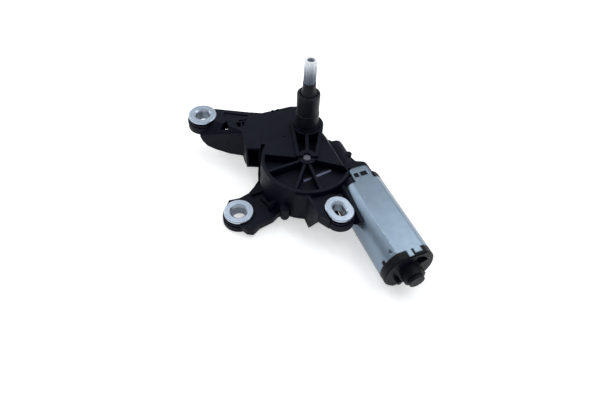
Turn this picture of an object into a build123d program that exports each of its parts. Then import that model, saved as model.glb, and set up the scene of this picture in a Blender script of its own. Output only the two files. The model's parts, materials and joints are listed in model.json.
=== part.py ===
from build123d import *
import os
from math import acos, atan2, cos, degrees, hypot, pi, radians, sin, sqrt, tan

# Rear wiper motor: a worm-geared motor in a moulded housing, whose hollow spindle oscillates.
# Millimetres. The spindle turns about the Z axis and z = 0 is the flat deck of the housing.
# The motor lies below the deck, with its shaft level, and everything rests on z = -BASE_DEPTH.

# --- fits and stock thicknesses ---
SEAT_GAP = 0.04          # between pieces of one body that are pressed or seated together
RUNNING_GAP = 0.05       # radial, between a shaft and the bush it turns in
FREE_GAP = 0.35          # between neighbours that move past each other
WALL = 2.5               # moulded wall of the housing

# --- levels of the housing ---
COVER_THICKNESS = 2.5
COVER_EAR_HEIGHT = 4.5   # of the screw ear beside the drum, above the cover's inner face
GROOVE_DEPTH = 0.8       # of the gasket's groove, in the cover
GROOVE_OUTER = 0.8       # inset of the groove's outer and inner edge from the chamber's wall
GROOVE_INNER = 1.9
FOOT_HEIGHT = 3.0        # feet and ribs under the cover
MOTOR_DROP = 17.0        # motor axis below the deck
RECESS_DEPTH = 7.2       # ribbed recess over the worm wheel
FLOOR_THICKNESS = 2.4

# --- worm gear ---
GEAR_MODULE = 1.0
WHEEL_TEETH = 54
WHEEL_FACE = 7.0
WHEEL_WEB_DROP = 2.1     # the web lies this far below the rim of the wheel
WORM_PITCH_RADIUS = 3.6
WORM_TURNS = 5
GEAR_BACKLASH = 0.24
PRESSURE_ANGLE = 20.0
DEDENDUM = 1.2           # root below the pitch line, in modules
ADDENDUM = 0.95          # tip above it
AXLE_RADIUS = 3.0
HUB_DISTANCE = 35.4      # wheel axle to spindle
HUB_BOSS_RADIUS = 6.4
AXLE_PROUD = 1.2         # end of the axle above the deck

# --- chamber round the wheel ---
WHEEL_ROOM = 1.6         # round the tips of the wheel's teeth
DRUM_WALL = 4.4
DRUM_FLARE = 1.8         # the drum widens this much towards its open edge
RIB_WIDTH = 2.0
RIB_BEARINGS = (207.0, 255.0, 288.0)
POST_BEARING = 246.5     # cover screw post on the front of the drum
POST_REACH = 4.6         # of that post, out from the drum's rim
RECESS_START = 175.0     # bearing of the deck edge left of the hub
RECESS_END = 345.5       # bearing of the deck edge right of the hub

# --- four-bar with toothed rod ---
CRANK_RADIUS = 8.0
ROD_LENGTH = 34.0
LINK_MODULE = 1.25
PINION_TEETH = 13        # the sector on the rod has the same pitch radius
LINK_PRESSURE_ANGLE = 25.0
LINK_BACKLASH = 0.24
ROD_THICKNESS = 2.5
LINK_THICKNESS = 1.5
CRANK_PIN_RADIUS = 2.5
LINK_PIN_RADIUS = 3.0

# --- spindle and tower ---
SPINDLE_RADIUS = 4.75
SPINDLE_TIP = 61.0
SEAT_RADIUS = 4.6        # upper end of the spindle, where the wiper arm sits
SEAT_FOOT = 33.4
SPLINE_FOOT = 37.0
SPLINE_LOBES = 16
SPLINE_FLUTE_RADIUS = 0.62
CHANNEL_RADIUS = 1.5
END_BORE_RADIUS = 2.7    # wider ends of the channel, for the jet's stem and the inlet's seal
JOURNAL_RADIUS = 4.0     # lower journal, below the pinion
SHOULDER_RADIUS = 6.0
BUSH_WALL = 1.15
BUSH_LENGTH = 12.0
TOWER_RADIUS = 7.4
TOWER_TOP = 28.9
BOOT_WALL = 1.3
BOOT_FOOT = 4.0
BOOT_TOP = 33.0
PEDESTAL_RADIUS = 13.1
PEDESTAL_HEIGHT = 2.6
PEDESTAL_HUB_WIDTH = 16.0

# --- mounting lugs ---
FLANGE_RADIUS = 11.0
FLANGE_THICKNESS = 1.5
LUG_LENGTH = 9.7         # overall length of a lug bush
LUG_BORE = 5.5
FUNNEL_RADIUS = 6.7
FUNNEL_DEPTH = 1.2
BUSH_SLEEVE_RADIUS = 7.3
GROMMET_WAIST = 8.8
GROMMET_COLLAR = 10.2
COLLAR_THICKNESS = 1.2
LUG_RING_RADIUS = 11.4
SKIRT_DROP = 1.4         # the skirt ends this far below the bush, unless that is under the base
SKIRT_RADIUS = 12.0      # lower part of a lug's ring
ARM_PLATE_DROP = 2.1     # top of the front arm's plate, under its lug's face
ARM_PLATE_THICKNESS = 5.2
LEFT_ARM_DEPTH = 14.0    # walls and ribs of the left arm, below the deck
LEFT_ARM_FLOOR = 12.4    # top of the web that closes them below
LEFT_LUG = (-82.9, 9.9)
LEFT_LUG_HEIGHT = 0.6    # face of the left lug, above the deck
FRONT_LUG = (-49.2, -68.6)
RIGHT_LUG = (22.3, -80.5)
RIGHT_LUG_HEIGHT = -2.5
SLOT_TRAVEL = 4.2        # the right lug is oblong by this much
SLOT_NARROWING = 1.7     # and that much less in radius than the round ones
SLOT_BEARING = 116.0
GUSSET_REACH = 19.0      # of the right arm's gusset, out from the drum

# --- motor ---
MOTOR_BEARING = -67.3    # direction from the worm towards the end cap
CAN_RADIUS = 18.8
CAN_FLAT_DEPTH = 2.8     # of each flat, in from the round sides
CAN_WALL = 1.6
CAN_START = 66.0         # distance along the motor axis, from beside the spindle
CAN_LENGTH = 65.0
CAP_RIM_LENGTH = 6.0
CAP_HUB_LENGTH = 10.0
CAP_HUB_RADIUS = 7.2
SHAFT_RADIUS = 3.0
TUNNEL_RADIUS = 9.0
NECK_LENGTH = 19.0
NECK_RADIUS = 16.3
MOUTH_FLANGE = 5.5       # flange that the can butts against
SPIGOT_LENGTH = 5.0      # part of the housing inside the can
CORE_REAR_ROOM = 25.0    # behind the core, for the commutator and the brushes
CORE_SETBACK = 12.0      # from the mouth of the can
AIR_GAP = 0.8            # between the core and the magnets
MAGNET_THICKNESS = 4.4
COMMUTATOR_RADIUS = 6.0
COMMUTATOR_LENGTH = 12.0
BRUSH_WIDTH = 5.0
BRUSH_LENGTH = 5.0
CRADLE_LENGTH = 31.0     # of the wing beside the can
TONGUE_LENGTH = 12.9
TONGUE_LEFT = -6.3
TONGUE_RIGHT = 8.4
TONGUE_THICKNESS = 1.3
TONGUE_WINDOWS = ((-4.8, -1.3), (0.2, 5.4))      # across the motor axis
WINDOW_LENGTH = 3.9
CRIMP_TABS = ((-3.0, 0.7, 5.0), (2.2, 7.6, 3.6))  # low and high across the axis, and length
NOTCH_BEARINGS = (156.0, 336.0)  # keys of the end cap, round the motor axis
DENT_BEARING = 134.0
SLOTS = 8                # of the armature
SLOT_DEPTH = 3.4         # of the slots between the core's teeth
SLOT_WIRE_RADIUS = 1.5
BEARING_RADIUS = 5.6
BEARING_LENGTH = 6.0
TAIL_BUSH_RADIUS = 4.0

# --- cover screws and washer inlet ---
SCREW_RADIUS = 1.6
SCREW_BOSS_RADIUS = 3.4
SCREW_LENGTH = 8.0
PIPE_DROP = 2.7          # centre of the washer pipe below the inside of the cover
INLET_BORE = 1.1
NIPPLE_RADIUS = 2.45
NIPPLE_END = 36.0        # reach of the washer nipple behind the spindle
SPIGOT_RADIUS = 2.05

# --- connector ---
SOCKET_CORNER = (-45.9, -26.5)   # front left corner of the socket shell
SOCKET_WIDTH = 11.0
SOCKET_HEIGHT = 20.9
SOCKET_TOP = 0.3         # above the deck
SOCKET_LENGTH = 19.0
SOCKET_WALL = 1.5
TERMINALS = 4
TERMINAL_PITCH = 4.2
TERMINAL_SIZE = 0.8

# --- places worked out from the sizes above ---
HUB = (0.0, -HUB_DISTANCE)
WHEEL_PITCH_RADIUS = GEAR_MODULE * WHEEL_TEETH / 2
CHAMBER_RADIUS = WHEEL_PITCH_RADIUS + GEAR_MODULE + WHEEL_ROOM
RIM_RADIUS = CHAMBER_RADIUS + DRUM_WALL
RECESS_RADIUS = RIM_RADIUS - WALL
GEAR_CENTRES = WHEEL_PITCH_RADIUS + WORM_PITCH_RADIUS
LEAD = pi * GEAR_MODULE
MOTOR_ALONG = (cos(radians(MOTOR_BEARING)), sin(radians(MOTOR_BEARING)))
MOTOR_ACROSS = (-MOTOR_ALONG[1], MOTOR_ALONG[0])
HUB_ALONG = HUB[0] * MOTOR_ALONG[0] + HUB[1] * MOTOR_ALONG[1]
MOTOR_OFFSET = GEAR_CENTRES + HUB[0] * MOTOR_ACROSS[0] + HUB[1] * MOTOR_ACROSS[1]
WHEEL_TOP = -MOTOR_DROP + WHEEL_FACE / 2
WHEEL_BOTTOM = -MOTOR_DROP - WHEEL_FACE / 2
CONTACT_TRACK_TOP = WHEEL_TOP - WHEEL_WEB_DROP + SEAT_GAP + 0.6
FLOOR_UNDERSIDE = -RECESS_DEPTH - FLOOR_THICKNESS
AXLE_BOTTOM = WHEEL_BOTTOM - 0.9
ROD_TOP = WHEEL_BOTTOM - 1.7
ROD_BOTTOM = ROD_TOP - ROD_THICKNESS
LINK_TOP = ROD_BOTTOM - FREE_GAP
LINK_BOTTOM = LINK_TOP - LINK_THICKNESS
SPINDLE_BOTTOM = LINK_BOTTOM - 0.75
HOUSING_DEPTH = 0.2 - SPINDLE_BOTTOM
BASE_DEPTH = HOUSING_DEPTH + COVER_THICKNESS + FOOT_HEIGHT
COVER_INNER = -HOUSING_DEPTH
COVER_OUTER = COVER_INNER - COVER_THICKNESS
LOW_LUG_HEIGHT = LUG_LENGTH - BASE_DEPTH
INLET_DROP = HOUSING_DEPTH + PIPE_DROP
BUSH_RADIUS = SPINDLE_RADIUS + RUNNING_GAP + BUSH_WALL
LOWER_BUSH_START = -11.0
BOOT_RADIUS = TOWER_RADIUS + BOOT_WALL
CLIP_START = TOWER_TOP + 0.3
CLIP_SEAT_RADIUS = SPINDLE_RADIUS - 0.45
PITCH_RADIUS = LINK_MODULE * PINION_TEETH / 2
LINK_CENTRES = 2 * PITCH_RADIUS
CAN_HALF_THICKNESS = CAN_RADIUS - CAN_FLAT_DEPTH
CAN_INNER = CAN_RADIUS - CAN_WALL
CAN_INNER_HALF = CAN_HALF_THICKNESS - CAN_WALL
CAN_END = CAN_START + CAN_LENGTH
CAP_RIM_END = CAN_END + CAP_RIM_LENGTH
CAP_HUB_END = CAP_RIM_END + CAP_HUB_LENGTH
NECK_START = CAN_START - NECK_LENGTH
CORE_RADIUS = CAN_INNER - MAGNET_THICKNESS - AIR_GAP
CORE_START = CAN_START + CORE_SETBACK
CORE_END = CAN_END - CORE_REAR_ROOM
COMMUTATOR_START = CORE_END + 6.0
COMMUTATOR_END = COMMUTATOR_START + COMMUTATOR_LENGTH
HOLDER_START = COMMUTATOR_END - 2.4
BRUSH_START = COMMUTATOR_START + 3.0
FRONT_BEARING_START = CAN_START - 12.0
REAR_BEARING_START = CAN_END + 1.6
SHAFT_START = HUB_ALONG - LEAD * (WORM_TURNS // 2 + 1) - 3.73
SHAFT_END = CAP_RIM_END + 2.0
TAIL_BUSH_END = SHAFT_START + 2.0
TUNNEL_START = SHAFT_START - 4.5
WINDOW_START = CAN_START - 7.9

MOTOR = Plane(
    origin=(MOTOR_ACROSS[0] * MOTOR_OFFSET, MOTOR_ACROSS[1] * MOTOR_OFFSET, -MOTOR_DROP),
    x_dir=(MOTOR_ACROSS[0], MOTOR_ACROSS[1], 0),
    z_dir=(MOTOR_ALONG[0], MOTOR_ALONG[1], 0),
).location


def link_bearing(reach):
    """Bearing of the link from the spindle when its pin is at this distance from the hub."""
    cosine = (LINK_CENTRES**2 + HUB_DISTANCE**2 - reach**2) / (2 * LINK_CENTRES * HUB_DISTANCE)
    return -90 - degrees(acos(cosine))


PARK_BEARING = link_bearing(ROD_LENGTH + CRANK_RADIUS)
TURN_BEARING = link_bearing(ROD_LENGTH - CRANK_RADIUS)
LINK_PIN = (
    LINK_CENTRES * cos(radians(PARK_BEARING)),
    LINK_CENTRES * sin(radians(PARK_BEARING)),
)
CRANK_SHARE = CRANK_RADIUS / (ROD_LENGTH + CRANK_RADIUS)
CRANK_PIN = (
    HUB[0] + (LINK_PIN[0] - HUB[0]) * CRANK_SHARE,
    HUB[1] + (LINK_PIN[1] - HUB[1]) * CRANK_SHARE,
)


# --- shape helpers ---
def disc(radius, low, high, at=(0, 0)):
    """Upright cylinder between two levels."""
    upward = (Align.CENTER, Align.CENTER, Align.MIN)
    return Pos(at[0], at[1], low) * Cylinder(radius, high - low, align=upward)


def ring(outer, inner, low, high, at=(0, 0)):
    return disc(outer, low, high, at) - disc(inner, low, high, at)


def cone(low_radius, high_radius, low, high, at=(0, 0)):
    upward = (Align.CENTER, Align.CENTER, Align.MIN)
    return Pos(at[0], at[1], low) * Cone(low_radius, high_radius, high - low, align=upward)


def block(x, y, z):
    """Box given by its low and high values on each axis."""
    size = (x[1] - x[0], y[1] - y[0], z[1] - z[0])
    return Pos(x[0], y[0], z[0]) * Box(*size, align=(Align.MIN, Align.MIN, Align.MIN))


def prism(points, low, high):
    """Upright prism on a closed outline."""
    face = make_face(Polyline(*points, close=True))
    return extrude(Pos(0, 0, low) * face, amount=high - low, dir=(0, 0, 1))


def polar(radius, bearing, centre=(0, 0)):
    turn = radians(bearing)
    return (centre[0] + radius * cos(turn), centre[1] + radius * sin(turn))


def motor_point(along, across):
    """Plan position of a point given along and across the motor axis."""
    return (
        MOTOR_ALONG[0] * along + MOTOR_ACROSS[0] * (MOTOR_OFFSET + across),
        MOTOR_ALONG[1] * along + MOTOR_ACROSS[1] * (MOTOR_OFFSET + across),
    )


def flatted(radius, half, low, high):
    """Cylinder along local Z with a flat above and below its axis."""
    return disc(radius, low, high) & block((-radius, radius), (-half, half), (low, high))


def strip(start, end, width, low, high):
    """Upright wall of this width along the line from start to end."""
    run = (end[0] - start[0], end[1] - start[1])
    length = hypot(*run)
    side = (-run[1] / length * width / 2, run[0] / length * width / 2)
    corners = [
        (start[0] + side[0], start[1] + side[1]),
        (start[0] - side[0], start[1] - side[1]),
        (end[0] - side[0], end[1] - side[1]),
        (end[0] + side[0], end[1] + side[1]),
    ]
    return prism(corners, low, high)


# --- gears ---
def involute(angle):
    return tan(angle) - angle


def gear_points(teeth, module, pressure, backlash, first, count):
    """Outline points of involute teeth on a full or partial gear, tooth centres from first."""
    pitch = module * teeth / 2
    base = pitch * cos(radians(pressure))
    root = pitch - DEDENDUM * module
    tip = pitch + ADDENDUM * module
    half = pi / (2 * teeth) - backlash / (2 * pitch) + involute(radians(pressure))
    points = []
    for index in range(count):
        centre = radians(first) + index * 2 * pi / teeth
        flank = []
        for step in range(4):
            radius = max(base, root) + (tip - max(base, root)) * step / 3
            flank.append((radius, half - involute(acos(base / radius))))
        flank.insert(0, (root, flank[0][1]))
        points += [(r * cos(centre - a), r * sin(centre - a)) for r, a in flank]
        points += [(r * cos(centre + a), r * sin(centre + a)) for r, a in reversed(flank)]
    return points


def wheel_face(turn):
    """Toothed outline of the worm wheel, turned by this many degrees."""
    pitch = WHEEL_PITCH_RADIUS
    half = pi / (2 * WHEEL_TEETH) - GEAR_BACKLASH / (2 * pitch)
    slope = tan(radians(PRESSURE_ANGLE)) / pitch
    corners = [
        (pitch - DEDENDUM * GEAR_MODULE, -half - DEDENDUM * GEAR_MODULE * slope),
        (pitch + GEAR_MODULE, -half + GEAR_MODULE * slope),
        (pitch + GEAR_MODULE, half - GEAR_MODULE * slope),
        (pitch - DEDENDUM * GEAR_MODULE, half + DEDENDUM * GEAR_MODULE * slope),
    ]
    first = radians(MOTOR_BEARING + 90 + turn) + pi / WHEEL_TEETH
    points = []
    for index in range(WHEEL_TEETH):
        centre = first + index * 2 * pi / WHEEL_TEETH
        points += [(r * cos(centre + a), r * sin(centre + a)) for r, a in corners]
    return make_face(Polyline(*points, close=True))


def worm_wheel():
    """Helical wheel with a web, a hub and a boss for the crank pin."""
    twist = degrees(WHEEL_FACE * GEAR_MODULE / (2 * WORM_PITCH_RADIUS) / WHEEL_PITCH_RADIUS)
    low = Pos(0, 0, WHEEL_BOTTOM) * wheel_face(-twist / 2)
    high = Pos(0, 0, WHEEL_TOP) * wheel_face(twist / 2)
    wheel = loft([low, high], ruled=True)
    rim_inner = WHEEL_PITCH_RADIUS - 4.0
    wheel -= ring(rim_inner, HUB_BOSS_RADIUS + 1, WHEEL_TOP - WHEEL_WEB_DROP, WHEEL_TOP)
    wheel = Pos(*HUB, 0) * wheel
    wheel += disc(CRANK_PIN_RADIUS + 0.9, WHEEL_BOTTOM - 0.8, WHEEL_BOTTOM, CRANK_PIN)
    wheel -= disc(AXLE_RADIUS + RUNNING_GAP, WHEEL_BOTTOM, WHEEL_TOP, HUB)
    return wheel - disc(CRANK_PIN_RADIUS + SEAT_GAP, WHEEL_BOTTOM - 0.8, WHEEL_TOP, CRANK_PIN)


def contact_ring():
    """Brass track let into the web of the wheel, interrupted at the park position."""
    top = CONTACT_TRACK_TOP
    track = ring(WHEEL_PITCH_RADIUS - 5.5, WHEEL_PITCH_RADIUS - 13.0, top - 0.6, top)
    gap = block((8, WHEEL_PITCH_RADIUS), (-4, 4), (top - 0.6, top))
    return Pos(*HUB, 0) * (track - Rot(0, 0, 60) * gap)


def crank_pin():
    return disc(CRANK_PIN_RADIUS, ROD_TOP + FREE_GAP, WHEEL_TOP - 3.0, CRANK_PIN)


def worm():
    """Single-start right-hand worm on local Z, with its core."""
    mesh = HUB_ALONG
    start = mesh - LEAD / 2 - LEAD * (WORM_TURNS // 2)
    root = WORM_PITCH_RADIUS - DEDENDUM * GEAR_MODULE
    tip = WORM_PITCH_RADIUS + GEAR_MODULE
    half = LEAD / 4 - GEAR_BACKLASH / 2
    slope = tan(radians(PRESSURE_ANGLE))
    inner = root - 0.3
    profile = [
        (inner, -half - (WORM_PITCH_RADIUS - inner) * slope),
        (tip, -half + GEAR_MODULE * slope),
        (tip, half - GEAR_MODULE * slope),
        (inner, half + (WORM_PITCH_RADIUS - inner) * slope),
    ]
    helix = Helix(pitch=LEAD, height=LEAD * WORM_TURNS, radius=WORM_PITCH_RADIUS)
    section = Plane.XZ * make_face(Polyline(*profile, close=True))
    thread = sweep(section, path=helix, is_frenet=True)
    core = disc(root, -LEAD / 2, LEAD * (WORM_TURNS + 0.5))
    return Pos(0, 0, start) * (core + thread)


# --- driven linkage ---
def drive_pinion():
    """Pinion under the spindle shoulder."""
    first = PARK_BEARING + 180 / PINION_TEETH
    points = gear_points(
        PINION_TEETH, LINK_MODULE, LINK_PRESSURE_ANGLE, LINK_BACKLASH, first, PINION_TEETH
    )
    pinion = prism(points, ROD_BOTTOM, ROD_TOP)
    return pinion - disc(JOURNAL_RADIUS + SEAT_GAP, ROD_BOTTOM, ROD_TOP)


def toothed_rod():
    """Connecting rod whose far end carries a toothed sector about the link pin."""
    reach = PARK_BEARING + 180
    pitch_angle = 360 / PINION_TEETH
    points = gear_points(
        PINION_TEETH, LINK_MODULE, LINK_PRESSURE_ANGLE, LINK_BACKLASH, reach - pitch_angle, 5
    )
    sector = Pos(*LINK_PIN, 0) * prism(points + [(0, 0)], ROD_BOTTOM, ROD_TOP)
    root = PITCH_RADIUS - DEDENDUM * LINK_MODULE
    rod = sector + disc(root, ROD_BOTTOM, ROD_TOP, LINK_PIN)
    rod += strip(LINK_PIN, CRANK_PIN, 7.0, ROD_BOTTOM, ROD_TOP)
    rod += disc(CRANK_PIN_RADIUS + 2.6, ROD_BOTTOM, ROD_TOP, CRANK_PIN)
    rod -= disc(CRANK_PIN_RADIUS + RUNNING_GAP, ROD_BOTTOM, ROD_TOP, CRANK_PIN)
    return rod - disc(LINK_PIN_RADIUS + RUNNING_GAP, ROD_BOTTOM, ROD_TOP, LINK_PIN)


def link_plate():
    """Flat link that holds the rod's pin at gear distance from the spindle."""
    link = strip((0, 0), LINK_PIN, 11.0, LINK_BOTTOM, LINK_TOP)
    link += disc(7.6, LINK_BOTTOM, LINK_TOP)
    link += disc(6.4, LINK_BOTTOM, LINK_TOP, LINK_PIN)
    link -= disc(JOURNAL_RADIUS + RUNNING_GAP, LINK_BOTTOM, LINK_TOP)
    return link - disc(LINK_PIN_RADIUS + SEAT_GAP, LINK_BOTTOM, LINK_TOP, LINK_PIN)


def link_pin():
    pin = disc(LINK_PIN_RADIUS, LINK_BOTTOM, ROD_TOP + FREE_GAP, LINK_PIN)
    return pin + disc(LINK_PIN_RADIUS + 1.3, ROD_TOP + FREE_GAP, ROD_TOP + FREE_GAP + 0.6, LINK_PIN)


# --- spindle, bushes and boot ---
def wiper_spindle():
    """Hollow spindle with a serrated seat for the wiper arm."""
    spindle = disc(SEAT_RADIUS, SEAT_FOOT, SPINDLE_TIP)
    spindle = chamfer(spindle.edges().group_by(Axis.Z)[-1], 0.5)
    spindle += disc(SPINDLE_RADIUS, ROD_TOP, SEAT_FOOT)
    spindle -= ring(SPINDLE_RADIUS + 1, CLIP_SEAT_RADIUS, CLIP_START - 0.05, CLIP_START + 0.95)
    spindle += disc(JOURNAL_RADIUS, SPINDLE_BOTTOM, ROD_TOP)
    spindle += disc(SHOULDER_RADIUS, ROD_TOP, LOWER_BUSH_START - FREE_GAP)
    flute = disc(SPLINE_FLUTE_RADIUS, SPLINE_FOOT, SPINDLE_TIP, (SEAT_RADIUS + 0.12, 0))
    spindle -= [Rot(0, 0, index * 360 / SPLINE_LOBES) * flute for index in range(SPLINE_LOBES)]
    spindle -= disc(CHANNEL_RADIUS, SPINDLE_BOTTOM, SPINDLE_TIP)
    spindle -= disc(END_BORE_RADIUS, SPINDLE_TIP - 3.5, SPINDLE_TIP)
    return spindle - disc(END_BORE_RADIUS, SPINDLE_BOTTOM, SPINDLE_BOTTOM + 4.5)


def spindle_clip():
    """Snap ring above the upper bush, in the shelter of the boot."""
    return ring(SPINDLE_RADIUS + 1.5, CLIP_SEAT_RADIUS + SEAT_GAP, CLIP_START, CLIP_START + 0.9)


def journal_clip():
    low = LINK_BOTTOM - 0.65
    return ring(JOURNAL_RADIUS + 1.5, JOURNAL_RADIUS + SEAT_GAP, low, low + 0.5)


def spindle_bush(start):
    return ring(BUSH_RADIUS, SPINDLE_RADIUS + RUNNING_GAP, start, start + BUSH_LENGTH)


def shaft_boot():
    """Rubber sleeve over the tower with a raised top rim and a lip round the spindle."""
    inner = TOWER_RADIUS + SEAT_GAP
    outer = BOOT_RADIUS
    lip = SPINDLE_RADIUS + 0.3
    dish = BOOT_TOP - 1.6
    profile = Polyline(
        (inner, BOOT_FOOT),
        (outer - 0.1, BOOT_FOOT),
        (outer + 0.25, BOOT_FOOT + 10.0),
        (outer - 0.05, BOOT_FOOT + 11.0),
        (outer - 0.05, BOOT_TOP - 1.8),
        (outer - 0.7, BOOT_TOP - 0.4),
        (outer - 1.7, BOOT_TOP),
        (outer - 2.6, BOOT_TOP - 0.4),
        (outer - 2.9, dish),
        (lip, dish),
        (lip, dish - 1.0),
        (inner, dish - 1.0),
        close=True,
    )
    boot = revolve(Plane.XZ * make_face(profile), axis=Axis.Z)
    return boot + disc(0.6, BOOT_FOOT + 11.0, BOOT_FOOT + 12.0, polar(outer + 0.1, 15))


# --- mounting lugs ---
def lug_outline(radius, travel):
    """Round or oblong outline, centred on the origin."""
    if travel:
        return Rot(0, 0, SLOT_BEARING) * SlotCenterToCenter(travel, 2 * (radius - SLOT_NARROWING))
    return Circle(radius)


def lug_slab(radius, travel, low, high):
    return Pos(0, 0, low) * extrude(lug_outline(radius, travel), amount=high - low)


def lug_bush(place, height, travel=0):
    """Flanged steel bush with a funnel mouth; its flange is the seat of the mounting screw."""
    bush = lug_slab(FLANGE_RADIUS, travel, -FLANGE_THICKNESS, 0)
    bush = chamfer(bush.edges().group_by(Axis.Z)[-1], 0.5)
    bush += lug_slab(BUSH_SLEEVE_RADIUS, travel, -LUG_LENGTH, -FLANGE_THICKNESS)
    bush -= lug_slab(LUG_BORE, travel, -LUG_LENGTH, 0)
    flare = degrees(atan2(FUNNEL_RADIUS - LUG_BORE, FUNNEL_DEPTH))
    funnel = extrude(lug_outline(LUG_BORE, travel), amount=FUNNEL_DEPTH, taper=-flare)
    bush -= Pos(0, 0, -FUNNEL_DEPTH) * funnel
    return Pos(place[0], place[1], height) * bush


def grommet(place, height, travel=0):
    """Rubber grommet between a lug bush and the housing."""
    top = -FLANGE_THICKNESS - SEAT_GAP
    low = -LUG_LENGTH + 0.3
    rubber = lug_slab(GROMMET_WAIST, travel, low, top)
    rubber += lug_slab(GROMMET_COLLAR, travel, top - COLLAR_THICKNESS, top)
    rubber += lug_slab(GROMMET_COLLAR, travel, low, low + COLLAR_THICKNESS)
    rubber -= lug_slab(BUSH_SLEEVE_RADIUS + SEAT_GAP, travel, low, top)
    return Pos(place[0], place[1], height) * rubber


def lug_ring(place, height, travel=0):
    """Ring of the housing that holds a grommet."""
    high = -FLANGE_THICKNESS - COLLAR_THICKNESS - 2 * SEAT_GAP
    low = max(-LUG_LENGTH - SKIRT_DROP, -BASE_DEPTH - height)
    piece = lug_slab(LUG_RING_RADIUS, travel, low, high)
    piece += lug_slab(SKIRT_RADIUS, travel, low, high - 2.4)
    return Pos(place[0], place[1], height) * piece


def lug_hole(place, height, travel=0):
    """Space that a lug takes out of the housing: the grommet and a clear way below it."""
    hole = lug_slab(GROMMET_WAIST + SEAT_GAP, travel, -LUG_LENGTH - 1, 1)
    room = FLANGE_RADIUS + FREE_GAP
    hole += lug_slab(room, travel, -FLANGE_THICKNESS - COLLAR_THICKNESS - 2 * SEAT_GAP, 3)
    under = -LUG_LENGTH + 0.3 + COLLAR_THICKNESS + SEAT_GAP
    hole += lug_slab(GROMMET_COLLAR + SEAT_GAP, travel, -40, under)
    return Pos(place[0], place[1], height) * hole


LUGS = (
    (LEFT_LUG, LEFT_LUG_HEIGHT, 0),
    (FRONT_LUG, LOW_LUG_HEIGHT, 0),
    (RIGHT_LUG, RIGHT_LUG_HEIGHT, SLOT_TRAVEL),
)

# --- housing ---
# Plan outline of the deck, from its left front corner clockwise seen from above.
DECK_OUTLINE = (
    (-51.0, -7.0),
    (-45.5, 14.5),
    (-35.8, 14.1),
    (-13.4, 23.3),
    (4.0, 24.5),
    (9.0, 20.0),
    (12.5, 6.0),
    (12.5, -28.0),
    (-30.0, -28.0),
    (-30.0, -22.0),
    (-35.5, -22.0),
    (-35.5, -14.5),
    (-48.8, -14.5),
)
# Screws that hold the cover, each with the level of the cover's underside there: in the post on
# the front wall, in the deck's two back corners and beside the worm.
FRONT_POST = polar(RIM_RADIUS + POST_REACH, POST_BEARING, HUB)
COVER_EAR_TOP = COVER_INNER + COVER_EAR_HEIGHT
COVER_SCREWS = (
    (FRONT_POST, COVER_EAR_TOP - COVER_THICKNESS),
    ((-42.3, 8.6), COVER_OUTER),
    ((5.8, 15.2), COVER_OUTER),
    (motor_point(38.0, 7.9), COVER_OUTER),
)
LEFT_ARM_FRONT = ((-50.4, -9.2), (-84.4, -2.9))   # line of the left arm's deep front wall
ARM_PLATE_TOP = LOW_LUG_HEIGHT - ARM_PLATE_DROP
ARM_PLATE_BOTTOM = ARM_PLATE_TOP - ARM_PLATE_THICKNESS


def pedestal_outline(spread=0.0):
    """Teardrop in plan: round at the tower, narrowing to the hub of the wheel."""
    half = PEDESTAL_HUB_WIDTH / 2 + spread
    round_end = Circle(PEDESTAL_RADIUS + spread)
    corners = [
        (-PEDESTAL_RADIUS - spread, 0),
        (-half, HUB[1]),
        (half, HUB[1]),
        (PEDESTAL_RADIUS + spread, 0),
    ]
    return round_end + make_face(Polyline(*corners, close=True))


def slab(sketch, low, high):
    return extrude(Pos(0, 0, low) * sketch, amount=high - low, dir=(0, 0, 1))


def drum():
    return cone(RIM_RADIUS + DRUM_FLARE, RIM_RADIUS, -HOUSING_DEPTH, 0, HUB)


def tunnel():
    """Cover over the worm, sloping from the deck to a round back above the shaft."""
    radius = TUNNEL_RADIUS
    lean = -3.0
    crest = sqrt(radius**2 - lean**2)
    low = MOTOR_DROP - HOUSING_DEPTH
    outline = Curve() + [
        Polyline((radius, 0), (radius, low), (-22, low), (-22, MOTOR_DROP), (-8.5, MOTOR_DROP)),
        Line((-8.5, MOTOR_DROP), (lean, crest)),
        ThreePointArc((lean, crest), (radius * 0.7071, radius * 0.7071), (radius, 0)),
    ]
    section = make_face(outline.edges())
    return MOTOR * slab(section, TUNNEL_START, NECK_START + 1)


def roof_cut():
    """Space above the worm tunnel that the drum and deck leave free."""
    radius = TUNNEL_RADIUS
    lean = -3.0
    crest = sqrt(radius**2 - lean**2)
    outline = Curve() + [
        Polyline((radius, 0), (45, 0), (45, 30), (-8.5, 30), (-8.5, MOTOR_DROP), (lean, crest)),
        ThreePointArc((lean, crest), (radius * 0.7071, radius * 0.7071), (radius, 0)),
    ]
    above = MOTOR * slab(make_face(outline.edges()), -10, 70)
    behind = [HUB, polar(90, RECESS_END, HUB), polar(120, 35, HUB), polar(90, 85, HUB)]
    return above & prism(behind, -HOUSING_DEPTH, 30)


def neck():
    """Throat between the worm tunnel and the mouth of the motor can."""
    half = CAN_HALF_THICKNESS - TONGUE_THICKNESS - SEAT_GAP
    flange_start = CAN_START - MOUTH_FLANGE
    throat = cone(TUNNEL_RADIUS + 2, NECK_RADIUS, NECK_START - 5, NECK_START)
    throat += disc(NECK_RADIUS, NECK_START, flange_start)
    flat = half - 2.2
    throat &= block((-30, 30), (-half, flat), (NECK_START - 5, flange_start))
    flange = flatted(CAN_RADIUS, CAN_HALF_THICKNESS, flange_start, CAN_START - SEAT_GAP)
    room = (TONGUE_LEFT - 0.5, TONGUE_RIGHT + 0.5)
    for side in (-1, 1):
        levels = sorted((side * half, side * 20))
        flange -= block(room, levels, (flange_start, CAN_START))
    spigot = flatted(
        CAN_INNER - SEAT_GAP, CAN_INNER_HALF - SEAT_GAP, CAN_START - 1, CAN_START + SPIGOT_LENGTH
    )
    return throat + flange + spigot


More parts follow.
